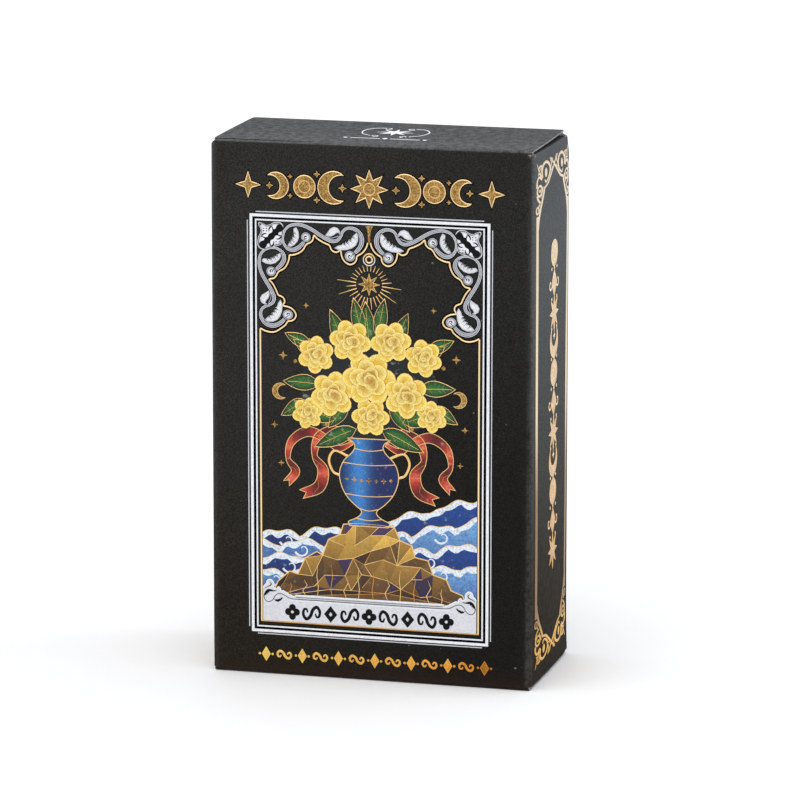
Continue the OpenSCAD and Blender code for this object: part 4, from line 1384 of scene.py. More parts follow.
for f_ in rf_:
    tri = RV[list(f_)]
    m_ = tri.mean(0)
    a_, b_, c_ = (np.array([*RV[i], 3.0 * hgt_[i]]) for i in f_)
    nn = np.cross(b_ - a_, c_ - a_)
    nn = nn / (np.linalg.norm(nn) + 1e-9) * (1 if nn[2] > 0 else -1)
    lum = float(np.clip(0.42 + 0.75 * (nn @ np.array([-0.55, 0.65, 0.25])), 0, 1))
    up_ = float(np.clip((m_[1] - 20.0) / 15.0, 0, 1))
    lum = lum * (0.30 + 0.85 * up_)
    col = DARK * (1 - lum) + (LIT * lum + WARM * (1 - lum)) * lum
    if 0.22 < lum < 0.42 and rs_.uniform() < 0.4:
        col = PLUM * (0.5 + 0.8 * up_)
    for i, j in ((0, 1), (1, 2), (2, 0)):
        edge_tone.setdefault(tuple(sorted((f_[i], f_[j]))), []).append(lum)

    def facet_tint(V, d, col=col, m_=m_):
        k_ = (1.0 + 0.10 * (V[:, 1] - m_[1]))[:, None]
        return np.concatenate([col[None, :] * k_, np.full((len(V), 1), 0.4)], 1)
    pc.fill(tri, 0.110, col=facet_tint, step=0.7)
po.line(CREST, 0.40, 0.165, col=GOLD)
for (i, j), tones_ in edge_tone.items():
    if len(tones_) == 2 and abs(tones_[0] - tones_[1]) > 0.10:
        po.line([RV[i], RV[j]], [0.26, 0.16], 0.150, col=GOLD if max(tones_) > 0.3 else GOLD_DEEP)
# cracks down the foot
for j, u_ in enumerate(np.arange(18.6, 57.6, 3.3)):
    v_ = min(27.0, float(np.interp(u_, [p_[0] for p_ in CREST], [p_[1] for p_ in CREST])) - 2.6) - 2.0 * (j % 3 == 1)
    e_ = 0.55 * math.sin(2.1 * j) + 0.25
    if v_ > 21.2:
        po.line([(u_, v_), (u_ + e_, 0.66 * v_ + 0.34 * 19.6), (u_ - 0.5 * e_, 0.30 * v_ + 0.70 * 19.6), (u_ + 0.3 * e_, 19.7)], [0.10, 0.24, 0.26, 0.20], 0.155, col=GOLD if j % 3 else GOLD_DEEP)

# vase: a footed urn, turned profile
prof = [(4.6, 37.0), (4.9, 38.0), (3.2, 38.8), (2.0, 39.8), (1.9, 40.8), (3.6, 42.2), (5.6, 44.4), (6.8, 47.2), (7.0, 49.8), (6.0, 52.4), (4.2, 54.2), (3.4, 55.6), (3.7, 56.8), (5.2, 57.8)]
right = catmull(prof, 3)
vase = np.concatenate([np.stack([UC + right[:, 0], right[:, 1]], 1), np.stack([UC - right[:, 0], right[:, 1]], 1)[::-1]])


def vase_tint(V, d):
    t = np.clip((V[:, 0] - UC) / 7.0, -1, 1)
    a, b = np.array(lin(14, 34, 92)), np.array(lin(60, 130, 200))
    k = np.exp(-((t + 0.35) / 0.35) ** 2)[:, None]
    col = a * (1 - k) + b * k
    return np.concatenate([col, np.full((len(V), 1), 0.6)], 1)


outlined(vase, vase_tint, 0.125, step=0.7, w=0.34, dome=0.05)
for v, r in ((38.9, 3.1), (41.2, 2.1), (44.6, 5.7), (52.0, 6.2), (55.4, 3.4)):
    c = np.stack([np.linspace(UC - r, UC + r, 15), v - 0.45 * np.cos(np.linspace(-math.pi / 2, math.pi / 2, 15))], 1)
    po.line(c, 0.34, 0.205, col=GOLD)
for i in range(-3, 4):
    po.fill(star(UC + i * 1.75, 48.2 - 0.35 * math.cos(i * 0.5), 0.85 if i % 2 == 0 else 0.5, 0.3, 4, 90), 0.20, col=GOLD_FILL)
for s in (-1, 1):
    c = catmull([(UC + s * 5.0, 53.4), (UC + s * 8.2, 54.6), (UC + s * 9.6, 52.4), (UC + s * 8.6, 49.6), (UC + s * 6.9, 48.8)], 6)
    po.line(c, 0.62, 0.12, col=GOLD)

# ribbons at the vase's neck: long strips that turn over as they fall
RED_A, RED_B, RED_C = lin(92, 16, 14), lin(196, 56, 40), lin(236, 120, 84)


def strip(centre, widths, n=6):
    c = catmull(centre, n)
    w = np.interp(np.linspace(0, len(widths) - 1, len(c)), range(len(widths)), widths)
    t = np.gradient(c, axis=0)
    t /= np.linalg.norm(t, axis=1)[:, None] + 1e-9
    nn = np.stack([-t[:, 1], t[:, 0]], 1)
    return c, c + nn * w[:, None] / 2, c - nn * w[:, None] / 2


for s in (-1, 1):
    g = lambda P: np.stack([UC + s * np.array(P, float)[:, 0], np.array(P, float)[:, 1]], 1)
    for kk, (cen, wid) in enumerate((
            ([(4.0, 57.4), (8.2, 59.2), (12.0, 57.4), (13.0, 53.2), (11.0, 49.8), (12.0, 45.8), (16.2, 43.8)], [1.0, 2.6, 2.4, 1.2, 2.6, 2.8, 2.2]),
            ([(4.0, 56.6), (7.2, 55.2), (9.8, 57.0), (14.4, 58.8), (18.4, 56.4), (19.4, 52.2), (17.6, 49.2), (19.8, 46.2)], [0.8, 1.5, 1.8, 2.4, 1.9, 1.0, 2.1, 1.8]))):
        c, L_, R2_ = strip(cen, wid)
        tail = c[-1] + (c[-1] - c[-2]) * -1.6
        P = np.concatenate([L_, [tail], R2_[::-1]])

        def tint(V, d, c=c, s=s, kk=kk):
            q = np.stack([s * (V[:, 0] - UC), V[:, 1]], 1)
            i = np.argmin(((q[:, None, :] - c[None]) ** 2).sum(2), 1)
            t = i / len(c)
            k = (0.5 + 0.5 * np.sin(t * 21 + kk * 1.3))[:, None]
            col = np.array(RED_A) * (1 - k) + np.array(RED_B) * k
            e = np.clip((k - 0.85) / 0.15, 0, 1) * 0.6
            col = col * (1 - e) + np.array(RED_C) * e
            return np.concatenate([col, np.full((len(V), 1), 0.7)], 1)
        outlined(g(P), tint, 0.07 + 0.015 * kk, step=0.5, w=0.24)
        for f in (0.3, 0.55, 0.8):
            i = int(f * (len(c) - 1))
            po.line(g([L_[i] * 0.85 + R2_[i] * 0.15, c[min(i + 2, len(c) - 1)], L_[min(i + 4, len(c) - 1)] * 0.3 + R2_[min(i + 4, len(c) - 1)] * 0.7]), 0.14, 0.125, col=GOLD_DEEP)

# leaves and roses
LEAF_LO, LEAF_HI = lin(8, 34, 16), lin(46, 110, 38)


def leaf(cx, cy, ang, L, wd, bend=0.0, h=0.09):
    P, mid = leaf_poly(L, wd, bend)
    P, mid = turned(P, ang, cx, cy), turned(mid, ang, cx, cy)
    lo, hi = np.array(LEAF_LO), np.array(LEAF_HI)

    def tint(V, d):
        t = np.clip(d / (wd * 0.32), 0, 1)[:, None]
        return np.concatenate([lo * (1 - t) + hi * t, np.full((len(V), 1), 0.75)], 1)
    outlined(P, tint, h, step=0.8, w=0.22, dome=0.03)
    po.line(mid[1:-1], 0.18, h + 0.075, col=GOLD)
    a = math.radians(ang)
    for t in (0.3, 0.5, 0.7):
        i = int(t * (len(mid) - 1))
        for s in (-1, 1):
            e = mid[i] + 0.30 * wd * np.array([math.cos(a + s * 0.9), math.sin(a + s * 0.9)])
            po.line([mid[i], e], 0.12, h + 0.07, col=GOLD)


def rose(cx, cy, R, rot=0.0, h=0.13, warm=0.0):
    """A round rose: three rings of overlapping petals and a curled heart."""
    c0, c1, c2 = np.array(lin(176, 120, 22)), np.array(lin(238, 196, 58)), np.array(lin(255, 234, 140))
    k = 0
    for ring, (rr, np_, sz) in enumerate(((0.62, 6, 0.52), (0.40, 5, 0.44), (0.18, 3, 0.36))):
        for i in range(np_):
            a = math.radians(rot + 360.0 / np_ * i + ring * 31)
            px, py = cx + R * rr * math.cos(a), cy + R * rr * math.sin(a)
            P = circle(px, py, R * sz, 14, R * sz * 0.86, 0)
            P = turned(P - np.array([px, py]), math.degrees(a), px, py)
            ctr = np.array([cx, cy])

            def tint(V, d, ring=ring):
                q = np.linalg.norm(V - ctr, axis=1) / (R * 1.15)
                t = np.clip(0.15 + 1.0 * q - 0.15 * ring, 0, 1)[:, None]
                col = c0 * (1 - t) + c1 * t
                e = np.clip(d / (R * 0.16), 0, 1)[:, None]
                col = col * e + c2 * (1 - e)
                return np.concatenate([col, np.full((len(V), 1), 0.45)], 1)
            hh = h + 0.010 * k
            k += 1
            pc.fill(P, hh, col=tint, step=R * 0.3)
            po.line(P, max(0.12, 0.055 * R), hh + 0.007, col=GOLD_DEEP, closed=True)
    po.line(spiral(cx, cy, R * 0.34, R * 0.05, rot, rot + 560, 30), max(0.14, 0.06 * R), h + 0.165, col=(0.42, 0.20, 0.05, 0))


BOUQ = [(0, 72.0, 5.6), (-8.6, 68.0, 4.7), (8.8, 68.4, 4.7), (-4.4, 80.6, 4.4), (5.2, 80.8, 4.3), (-12.6, 77.0, 3.9), (12.9, 77.4, 3.9), (0.4, 63.0, 4.0), (-14.6, 63.2, 3.3), (14.9, 63.8, 3.3)]
leaves = [(-3, 60, 200, 11, 4.0, 1.0), (3, 60, -20, 11, 4.0, -1.0), (-8, 62, 165, 10.5, 4.2, -1.2), (8, 62, 15, 10.5, 4.2, 1.2),
          (-12, 70, 170, 8.4, 3.8, 1.0), (12, 70, 10, 8.4, 3.8, -1.0), (-10, 75, 140, 9.6, 3.9, 1.0), (10, 75, 40, 9.6, 3.9, -1.0),
          (-5, 78, 118, 10.6, 3.9, -0.8), (5, 78, 62, 10.6, 3.9, 0.8), (0, 79, 92, 11.0, 3.9, 0.5), (-1.5, 82, 108, 9.0, 3.2, -0.6), (1.8, 82, 74, 9.0, 3.2, 0.6),
          (-15, 66, 205, 7.0, 3.2, 0.8), (15, 66, -25, 7.0, 3.2, -0.8), (-14, 79, 150, 6.6, 3.0, 0.6), (14, 79, 30, 6.6, 3.0, -0.6), (-5, 66, 228, 7.6, 3.4, 0.6), (5, 66, -48, 7.6, 3.4, -0.6)]
# dark ground of foliage behind
pc.fill(catmull([(UC - 4, 57.5), (UC - 11, 60), (UC - 16, 66), (UC - 15, 75), (UC - 9, 82), (UC, 85), (UC + 9, 82), (UC + 15, 75), (UC + 16, 66), (UC + 11, 60), (UC + 4, 57.5)], 5, True), 0.055, col=(*lin(10, 22, 20), 0.8), step=1.5)
for i, (x, y, a, L, wd, bd) in enumerate(leaves):
    leaf(UC + x, y, a, L, wd, bd, 0.135 + 0.006 * (i % 5))
for i, (x, y, R) in enumerate(BOUQ):
    rose(UC + x, y, R, 17.0 * i, 0.21 + 0.012 * (i % 3))
for i in range(16):
    a = 2 * math.pi * i / 16 + 0.2
    x, y = UC + 18.2 * math.cos(a) * (0.92 + 0.08 * math.sin(5 * a)), 72.5 + 14.2 * math.sin(a)
    if y < 60:
        continue
    po.fill(circle(x, y, 0.5, 10), 0.12, col=GOLD_FILL)

# star with rays over the bouquet, small stars and crescents in the black ground
SX, SY = UC, 94.0
po.fill(star(SX, SY, 2.5, 1.05, 8, 90), 0.05, col=GOLD_FILL, step=0.6)
po.line(star(SX, SY, 2.5, 1.05, 8, 90), 0.22, 0.08, col=GOLD, closed=True)
for i in range(28):
    a = 2 * math.pi * (i + 0.5) / 28
    r0, r1 = 3.1, (7.6 if i % 2 else 5.4)
    if math.sin(a) > 0.2:
        r1 = min(r1, 4.6)
    if math.sin(a) < -0.55:
        r1 = min(r1, 5.8)
    po.line([(SX + r0 * math.cos(a), SY + r0 * math.sin(a)), (SX + r1 * math.cos(a), SY + r1 * math.sin(a))], [0.3, 0.14], 0.05, col=GOLD)
for x, y, r in ((-20.5, 76.5, 1.1), (20.6, 77.4, 1.1), (-22.6, 60.0, 0.9), (22.7, 61.0, 0.9), (-21.0, 51.0, 0.8), (21.6, 52.6, 0.8), (-15.0, 88.4, 0.8), (15.2, 88.6, 0.8)):
    po.fill(star(UC + x, y, r, r * 0.36, 4, 90), 0.05, col=GOLD_FILL)
for s in (-1, 1):
    P = crescent(UC + s * 21.2, 68.0, 1.9, 0 if s < 0 else 180, 0.8, 0.45)
    po.fill(P, 0.045, col=GOLD_FILL, step=0.6)
    po.line(P, 0.18, 0.07, col=GOLD, closed=True)
pc.build("front_picture", M_INK, "carton")
po.build("front_picture_gold", M_GOLD, "carton")

# ---------------------------------------------------------------- sides: double line, scroll corners, ogee arches, ornament column
def side_print(place, name):
    K = 2.2                 # the pattern is stretched across the panel
    C = 18.3

    def near_mid(u, v, h):
        """The print runs in a little towards the foot."""
        return place(C + (u - C) * (1 - 0.10 * np.clip(1 - v / 126.0, 0, 1)), v, h)
    near_mid.flip = getattr(place, "flip", False)
    g = Print(near_mid, K, bold=1.04)
    v_ = Print(near_mid, K)

    def warm(uvh, cols):
        """Pale at the top, a deeper gold towards the foot: painted reflection."""
        t = np.clip(uvh[:, 1] / 122.0, 0, 1)[:, None]
        k = np.array([[0.70, 0.37, 0.09]]) * (1 - t) + np.array([[0.98, 0.83, 0.60]]) * t
        out = cols.copy()
        out[:, :3] = cols[:, :3] * k
        return out

    def painted_reflection_bands(uvh, cols):
        """Pale at the top, bronze below the middle, deep gold at the foot: painted reflection."""
        v = uvh[:, 1:2]
        up, low = sstep((v - 42.0) / 26.0), sstep((v - 7.0) / 11.0)
        pale, bronze, deep = np.array([0.80, 0.64, 0.43]), np.array([0.25, 0.13, 0.032]), np.array([0.90, 0.50, 0.055])
        k = deep * (1 - low) + low * (bronze * (1 - up) + pale * up)
        out = cols.copy()
        out[:, :3] = cols[:, :3] * k
        return out

    ONE = (1.0, 1.0, 1.0, 0.0)
    GRAIN = (0.92, 0.90, 0.86, 0.7)
    rise = lambda u: np.interp(u, [2.0, 6.0, C, 34.6], [0.95, 1.05, 1.95, 2.0])
    for u0, wd in ((2.35, 0.46), (3.3, 0.5)):
        for f in (lambda u: u, lambda u: 2 * C - u):
            g.line([(f(u0) / K, 15.2 + float(rise(f(u0)))), (f(u0) / K, 110.8)], wd, 0.05, col=ONE)
    for end in (0, 1):
        for mir in (0, 1):
            def q(P):
                P = np.array(P, float)
                u = P[:, 0] if mir == 0 else 2 * C - P[:, 0]
                v = P[:, 1] if end == 0 else 126.0 - P[:, 1] + rise(u)
                return np.stack([u / K, v], 1)
            # ogee arch with a step, running on over its apex into a finial
            c = q(catmull([(3.45, 107.4), (4.0, 109.6), (5.1, 111.8), (6.6, 113.5), (8.2, 115.4), (8.9, 116.5), (10.0, 116.7), (12.2, 117.3), (14.8, 118.7), (17.0, 120.0), (18.3, 120.75), (19.6, 121.4), (20.6, 122.0)], 6))
            g.line(c, np.interp(np.linspace(0, 12, len(c)), range(13), [0.34, 0.62, 0.80, 0.78, 0.70, 0.58, 0.56, 0.58, 0.60, 0.58, 0.50, 0.55, 0.3]), 0.058, col=ONE)
            g.fill(q(catmull([(19.4, 121.1), (21.0, 121.6), (22.4, 122.5), (20.6, 122.5), (19.5, 121.9)], 4, True)), 0.052, col=GRAIN, step=0.5)
            g.line(q(catmull([(5.6, 114.6), (6.9, 115.8), (7.7, 117.0)], 5)), 0.24, 0.05, col=ONE)
            # corner leaf with three lobes
            g.fill(q(catmull([(2.2, 122.9), (3.6, 122.0), (5.0, 122.1), (6.9, 121.9), (6.2, 121.1), (7.2, 119.9), (7.4, 119.2), (5.6, 119.4), (4.4, 120.1), (3.1, 119.9), (3.7, 120.9), (2.9, 121.8)], 4, True)), 0.054, col=(1.0, 0.98, 0.95, 0.25), step=0.4)
            # veins of the leaf
            for a_, b_ in (((3.3, 122.1), (6.4, 119.9)), ((5.4, 121.7), (5.7, 120.6)), ((3.9, 120.5), (5.2, 120.7))):
                v_.line(q([a_, b_]), 0.16, 0.085, base=0.03, col=(0.0035, 0.0034, 0.0032, 0))
            # C-scroll with a drop inside
            c = q(catmull([(7.3, 119.0), (6.9, 120.4), (7.9, 121.6), (10.2, 122.15), (12.8, 121.7), (14.3, 120.5), (13.8, 119.2), (12.3, 118.3), (10.3, 117.7), (9.2, 118.4)], 6))
            g.line(c, np.interp(np.linspace(0, 9, len(c)), range(10), [0.55, 0.66, 0.74, 0.70, 0.68, 0.66, 0.6, 0.52, 0.46, 0.3]), 0.058, col=ONE)
            g.fill(q(catmull([(10.3, 120.9), (11.3, 120.2), (11.1, 119.2), (10.2, 118.75), (9.4, 119.3), (9.4, 120.2)], 4, True)), 0.052, col=ONE)
            g.line(q(catmull([(14.4, 120.2), (15.4, 120.9), (15.6, 121.7), (14.8, 122.1)], 5)), 0.34, 0.056, col=ONE)
            g.line(q(catmull([(14.2, 119.6), (15.6, 119.8), (16.3, 120.4)], 5)), 0.24, 0.05, col=ONE)
            # lower scroll, ring and bead
            g.line(q(catmull([(2.3, 117.3), (2.6, 118.7), (3.9, 119.5), (5.4, 119.3), (6.7, 118.7)], 5)), 0.6, 0.056, col=ONE)
            g.line(q(circle(4.7, 116.4, 2.05, 24, 1.15)), 0.56, 0.056, col=ONE, closed=True)
            g.fill(q(circle(4.7, 116.4, 0.75, 12, 0.38)), 0.05, col=ONE)
            g.line(q(catmull([(2.5, 115.6), (3.3, 114.6), (4.5, 114.0), (5.2, 113.6)], 5)), 0.58, 0.056, col=ONE)
            g.line(q(circle(2.9, 112.2, 1.05, 18, 0.78)), 0.46, 0.054, col=ONE, closed=True)
            g.fill(q(circle(4.2, 113.2, 0.5, 10, 0.3)), 0.05, col=ONE)
    g.build(name + "_frame", M_GOLD, "carton", painted_reflection_bands)
    v_.build(name + "_frame_veins", M_SHADE, "carton")
    k = Print(place)
    CU = 18.6
    ys = np.linspace(29.4, 100.0, 11)
    pale, grainy = (1.0, 1.0, 1.0, 0.0), (0.92, 0.88, 0.80, 0.5)
    for i, v in enumerate(ys):
        m = i % 4
        if m == 0:
            P = star(CU, v, 4.2, 1.7, 8, 90)
            gold_shape(k, P, col=grainy, rimcol=pale, rim=0.34)
        elif m == 1:
            gold_shape(k, [(CU - 2.4, v), (CU, v + 3.0), (CU + 2.4, v), (CU, v - 3.0)], col=grainy, rimcol=pale, rim=0.34)
            for s in (-1, 1):
                k.line(spiral(CU + s * 3.6, v, 1.5, 0.4, 180 if s > 0 else 0, (180 if s > 0 else 0) + s * 300, 20), 0.6, 0.05, col=pale)
        elif m == 2:
            gold_shape(k, circle(CU, v, 3.0, 30), col=grainy, rimcol=pale, rim=0.34)
            k.line(circle(CU, v, 1.5, 20), 0.36, 0.1, col=pale, closed=True)
        else:
            gold_shape(k, crescent(CU, v + 0.4, 3.8, 90, 0.78, 0.42), col=grainy, rimcol=pale, rim=0.34)
            k.fill(star(CU, v + 1.7, 1.1, 0.45, 4, 90), 0.05, col=pale)
    for v in (ys[:-1] + ys[1:]) / 2:
        for s in (-1, 0, 1):
            k.fill(circle(CU + s * 2.6, v, 0.42 if s else 0.5, 10), 0.05, col=pale)
    k.build(name + "_column", M_GOLD, "carton", warm)


side_print(on_right, "right_side")
side_print(on_left, "left_side")


# ---------------------------------------------------------------- back: double frame, scroll corners, compass star
def back_print():
    g = Print(on_back)
    g.line(rect(5.0, 5.0, 71.0, 119.0), 0.62, 0.05, col=GOLD, closed=True)
    g.line(rect(6.3, 6.3, 69.7, 117.7), 0.30, 0.05, col=GOLD, closed=True)
    for su in (0, 1):
        for sv in (0, 1):
            def q(P):
                P = np.array(P, float)
                u = 6.3 + P[:, 0] if su == 0 else 69.7 - P[:, 0]
                v = 117.7 - P[:, 1] if sv == 0 else 6.3 + P[:, 1]
                return np.stack([u, v], 1)
            for sw in (False, True):
                z = lambda P: q(np.array(P, float)[:, ::-1] if sw else P)
                for pts, ww in ((STEM_PTS, STEM_W), (VOL1, VOL1_W)):
                    c = catmull(pts, 4)
                    w = np.interp(np.linspace(0, len(ww) - 1, len(c)), range(len(ww)), ww)
                    g.line(z(c), w * 0.8, 0.055, col=GOLD)
                for P in (LEAF_END, LEAF_DROP, LEAF_1):
                    g.fill(z(P), 0.045, col=GOLD_FILL, step=0.6, dome=0.02)
                for cx, cy, r in ((22.1, 7.5, 0.9), (11.72, 3.45, 0.85)):
                    g.fill(z(circle(cx, cy, r, 16)), 0.05, col=GOLD_FILL)
            g.line(q(catmull(CART, 4, True)), 0.4, 0.055, col=GOLD, closed=True)
            g.fill(q([(3.35 - 1.6, 3.35 + 1.6), (3.35 + 0.9, 3.35 + 0.9), (3.35 + 1.6, 3.35 - 1.6), (3.35 - 0.9, 3.35 - 0.9)]), 0.05, col=GOLD_FILL, step=0.6)
    c, v0 = 38.0, 62.0
    for r, w in ((19.0, 0.55), (17.8, 0.25), (9.4, 0.35)):
        g.line(circle(c, v0, r, 72), w, 0.05, col=GOLD, closed=True)
    for i in range(48):
        a = 2 * math.pi * i / 48
        g.fill(circle(c + 18.4 * math.cos(a), v0 + 18.4 * math.sin(a), 0.28, 8), 0.05, col=GOLD)
    for n_, R, r, rot in ((8, 13.4, 4.0, 112.5), (4, 17.0, 3.6, 90.0)):
        P = star(c, v0, R, r, n_, rot)
        m = len(P)
        for i in range(0, m, 2):
            tip, lo, hi = P[i], P[i - 1], P[(i + 1) % m]
            h_ = 0.045 if n_ == 8 else 0.075
            g.fill([tip, (c, v0), lo], h_, col=GOLD_FILL, step=1.0)
            g.line([tip, (c, v0), hi, tip], 0.26, h_ + 0.03, col=GOLD)
    gold_shape(g, circle(c, v0, 2.2, 28))
    for s in (1, -1):
        gold_shape(g, crescent(c, v0 + s * 29.0, 4.6, 90 if s > 0 else 270, 0.8, 0.45))
        gold_shape(g, star(c, v0 + s * 31.2, 1.3, 0.5, 5, 90), step=None, rim=0.14)
        for d in (-9.0, 9.0):
            gold_shape(g, star(c + d, v0 + s * 27.0, 1.7, 0.6, 4, 90), step=None, rim=0.16)
        for d in (-24.5, 24.5):
            gold_shape(g, [(c + d - 1.4, v0), (c + d, v0 + 3.2), (c + d + 1.4, v0), (c + d, v0 - 3.2)], step=0.6, rim=0.2)
    g.build("back_ornament", M_GOLD, "carton")


back_print()


# ---------------------------------------------------------------- top: a small pale flourish
def top_print():
    g = Print(on_lid)
    c, v0 = 38.6, 20.0
    col = (0.80, 0.81, 0.83, 0.2)
    g.fill(star(c, v0, 4.4, 1.5, 8, 90), 0.03, col=col, step=1.0)
    for s in (-1, 1):
        g.line(catmull([(c + s * 4.6, v0 - 5.5), (c + s * 7.0, v0 - 3.0), (c + s * 7.8, v0 + 1.5), (c + s * 6.2, v0 + 5.2), (c + s * 3.6, v0 + 6.2)], 6), [0.3] * 25, 0.03, col=col)
        g.line(spiral(c + s * 3.0, v0 + 5.0, 1.2, 0.3, 90, 90 + s * 300, 18), 0.3, 0.03, col=col)
        g.line(spiral(c + s * 3.6, v0 - 5.9, 1.2, 0.3, -90, -90 - s * 300, 18), 0.3, 0.03, col=col)
        g.fill(circle(c + s * 9.4, v0 - 9.6, 0.5, 10), 0.03, col=col)
        g.line([(c + s * 1.2, v0 - 9.6), (c + s * 8.2, v0 - 9.6)], 0.45, 0.03, col=col)
    g.fill([(c - 0.7, v0 - 9.6), (c, v0 - 8.6), (c + 0.7, v0 - 9.6), (c, v0 - 10.6)], 0.03, col=col)
    g.build("lid_flourish", M_SILVER, "top_lid")


top_print()

# ---------------------------------------------------------------- what is inside: cards, booklet, glue flap
M_CARD = card_mat("card_stock", (0.016, 0.015, 0.018), (0.72, 0.47, 0.18))
M_PAGES, M_COVER, M_WIRE = paper_mat(), cover_mat(), wire_mat()
for name_, ob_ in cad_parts.items():
    if "card" in name_:
        m_ = M_CARD
    elif name_ == "booklet_pages":
        m_ = M_PAGES
    elif name_ == "booklet_cover":
        m_ = M_COVER
    elif name_ == "booklet_staples":
        m_ = M_WIRE
    elif name_ == "glue_flap":
        m_ = M_INSIDE
    else:
        continue
    ob_.data.materials.clear()
    ob_.data.materials.append(m_)
g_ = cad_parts["glue_flap"].data
r_ = np.zeros(len(g_.vertices) * 3, np.float32)
g_.vertices.foreach_get("co", r_)
g_.attributes.new("rest", "FLOAT_VECTOR", "POINT").data.foreach_set("vector", r_)



def on_booklet(u, v, h):
    return np.stack([u - 33.0, -17.2 - h, v + 1.2], 1)


def on_face(u, v, h):
    return np.stack([u - 35.0, -14.5 - h, v + 1.2], 1)


def on_last(u, v, h):
    return np.stack([35.0 - u, 14.5 + h, v + 1.2], 1)


def inner_prints():
    g = Print(on_booklet)
    g.line(rect(3.2, 3.2, 62.8, 106.8), 0.55, 0.04, base=-0.02, col=GOLD, closed=True)
    g.line(rect(4.6, 4.6, 61.4, 105.4), 0.25, 0.04, base=-0.02, col=GOLD, closed=True)
    for su in (0, 1):
        for sv in (0, 1):
            z = lambda P: np.stack([(4.9 + np.array(P, float)[:, 0]) if su == 0 else (61.1 - np.array(P, float)[:, 0]), (105.1 - np.array(P, float)[:, 1]) if sv == 0 else (4.9 + np.array(P, float)[:, 1])], 1)
            g.line(z(spiral(3.2, 3.2, 2.6, 0.4, 225, 585, 30)), np.linspace(0.25, 0.6, 30), 0.045, base=-0.02, col=GOLD)
            for sw in (0, 1):
                e = lambda P: z(np.array(P, float)[:, ::-1] if sw else P)
                g.line(e(catmull([(5.4, 1.4), (8.4, 1.0), (11.2, 2.2), (13.4, 1.6)], 6)), np.linspace(0.6, 0.2, 19), 0.045, base=-0.02, col=GOLD)
                g.fill(e(circle(14.6, 1.4, 0.5, 12)), 0.045, base=-0.02, col=GOLD_FILL)
    gold_shape(g, star(33.0, 60.0, 13.0, 5.2, 8, 90), step=1.0)
    g.line(circle(33.0, 60.0, 15.4, 48), 0.4, 0.045, base=-0.02, col=GOLD, closed=True)
    gold_shape(g, circle(33.0, 60.0, 3.0, 28))
    for s in (-1, 1):
        gold_shape(g, crescent(33.0, 60.0 + s * 25.0, 4.6, 90 if s > 0 else 270, 0.8, 0.45))
    g.build("booklet_cover_print", M_GOLD, "booklet")
    # the first card's face: a frame with a star at each corner, a sun over four wave lines
    g = Print(on_face)
    g.line(rect(4.6, 4.6, 65.4, 115.4), 0.4, 0.025, base=-0.02, col=GOLD, closed=True)
    for d in (-1, 1):
        for s in (0, 1):
            u = 35.0 + d * 22.0
            v = 108.6 if s == 0 else 11.4
            gold_shape(g, star(u, v, 2.6, 0.9, 4, 90), step=None, rim=0.22, h=0.02)
    gold_shape(g, circle(35.0, 74.0, 7.5, 36), step=1.0, h=0.02)
    for i in range(24):
        a = 2 * math.pi * i / 24
        g.line([(35 + 9 * math.cos(a), 74 + 9 * math.sin(a)), (35 + (15 if i % 2 else 12) * math.cos(a), 74 + (15 if i % 2 else 12) * math.sin(a))], [0.7, 0.2], 0.025, base=-0.02, col=GOLD)
    for j in range(4):
        us = np.linspace(8, 62, 60)
        g.line(np.stack([us, 36 - 6 * j + 1.8 * np.sin(us * 0.5 + j)], 1), 0.5, 0.025, base=-0.02, col=GOLD)
    g.build("first_card_print", M_GOLD, "majors")
    # the last card's back: a lattice of lozenges in a double frame
    g = Print(on_last)
    g.line(rect(4.6, 4.6, 65.4, 115.4), 0.55, 0.04, base=-0.02, col=GOLD, closed=True)
    g.line(rect(5.8, 5.8, 64.2, 114.2), 0.22, 0.04, base=-0.02, col=GOLD, closed=True)
    for i in range(6):
        for j in range(11):
            u, v = 35 + (i - 2.5) * 9.6, 60 + (j - 5) * 9.8
            g.line([(u - 4.3, v), (u, v + 4.4), (u + 4.3, v), (u, v - 4.4)], 0.26, 0.04, base=-0.02, col=GOLD, closed=True)
            if (i + j) % 2 == 0:
                g.fill(star(u, v, 2.2, 0.8, 4, 90), 0.04, base=-0.02, col=GOLD_FILL)
            else:
                g.fill(crescent(u, v, 1.7, 90, 0.8, 0.45), 0.04, base=-0.02, col=GOLD_FILL)
    g.build("last_card_print", M_GOLD, "pentacles")


inner_prints()

# ---------------------------------------------------------------- stage, light and camera
scene = bpy.context.scene
fm, fnt, fb = new_mat("floor")
fb.inputs["Base Color"].default_value = (0.92, 0.92, 0.92, 1)
fb.inputs["Roughness"].default_value = 0.9
fb.inputs["Specular IOR Level"].default_value = 0.0
me_ = bpy.data.meshes.new("floor")
S_ = 6.0
me_.from_pydata([(-S_, -S_, -0.00002), (S_, -S_, -0.00002), (S_, S_, -0.00002), (-S_, S_, -0.00002)], [], [(0, 1, 2, 3)])
me_.materials.append(fm)
floor = bpy.data.objects.new("floor", me_)
scene.collection.objects.link(floor)

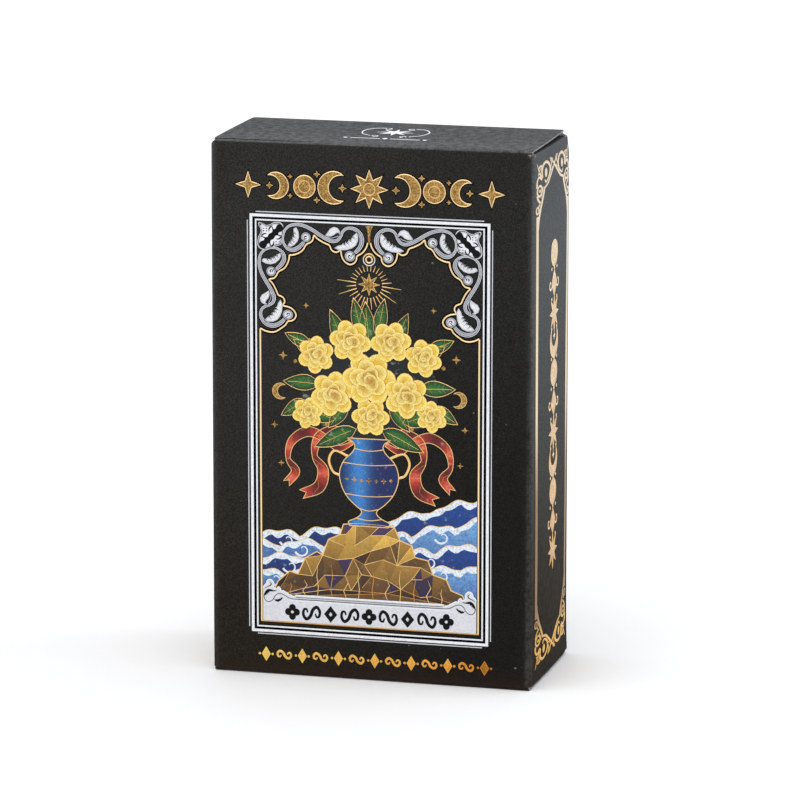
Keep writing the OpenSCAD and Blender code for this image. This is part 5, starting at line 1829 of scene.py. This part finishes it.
world = bpy.data.worlds.new("studio")
world.use_nodes = True
bg = world.node_tree.nodes["Background"]
bg.inputs[0].default_value = (0.95, 0.97, 1.0, 1)
bg.inputs[1].default_value = 0.80
scene.world = world


def area(name, loc, target, size, power, col=(1, 1, 1), size_y=None):
    d = bpy.data.lights.new(name, "AREA")
    d.shape = "RECTANGLE"
    d.size, d.size_y = size, size_y or size
    d.energy, d.color = power, col
    o = bpy.data.objects.new(name, d)
    o.location = loc
    o.rotation_mode = "QUATERNION"
    o.rotation_quaternion = (Vector(target) - Vector(loc)).to_track_quat("-Z", "Y")
    scene.collection.objects.link(o)
    return o


def sun(name, direction, power, angle, col=(1, 1, 1)):
    d = bpy.data.lights.new(name, "SUN")
    d.energy, d.color, d.angle = power, col, math.radians(angle)
    o = bpy.data.objects.new(name, d)
    o.location = Vector(direction) * -2.0
    o.rotation_mode = "QUATERNION"
    o.rotation_quaternion = Vector(direction).to_track_quat("-Z", "Y")
    scene.collection.objects.link(o)
    return o


sun("key", (0.22, 0.55, -1.0), 1.15, 70.0, (1.0, 0.985, 0.96))
area("back_softbox", (-0.45, 1.7, 0.75), (0, 0, 0.12), 1.3, 5.0, (0.96, 0.98, 1.0), 0.7)
area("side_softbox", (0.30, 0.06, 0.36), (0.04, 0.0, 0.11), 0.22, 0.35, (0.95, 0.98, 1.0), 0.22)

cam_d = bpy.data.cameras.new("camera")
cam = bpy.data.objects.new("camera", cam_d)
R_ = Vector((0.96983, 0.24378, 0.00118)).normalized()
F_ = Vector((-0.23815, 0.94844, -0.20917)).normalized()
U_ = R_.cross(F_).normalized()
R_ = F_.cross(U_).normalized()
cam.matrix_world = Matrix(((R_.x, U_.x, -F_.x, 0.25291), (R_.y, U_.y, -F_.y, -0.99800), (R_.z, U_.z, -F_.z, 0.28347), (0, 0, 0, 1)))
cam_d.lens, cam_d.sensor_width = 202.30, 36.0
cam_d.clip_start, cam_d.clip_end = 0.01, 30.0
scene.collection.objects.link(cam)
scene.camera = cam
scene.view_settings.view_transform = "Standard"
scene.view_settings.look = "None"
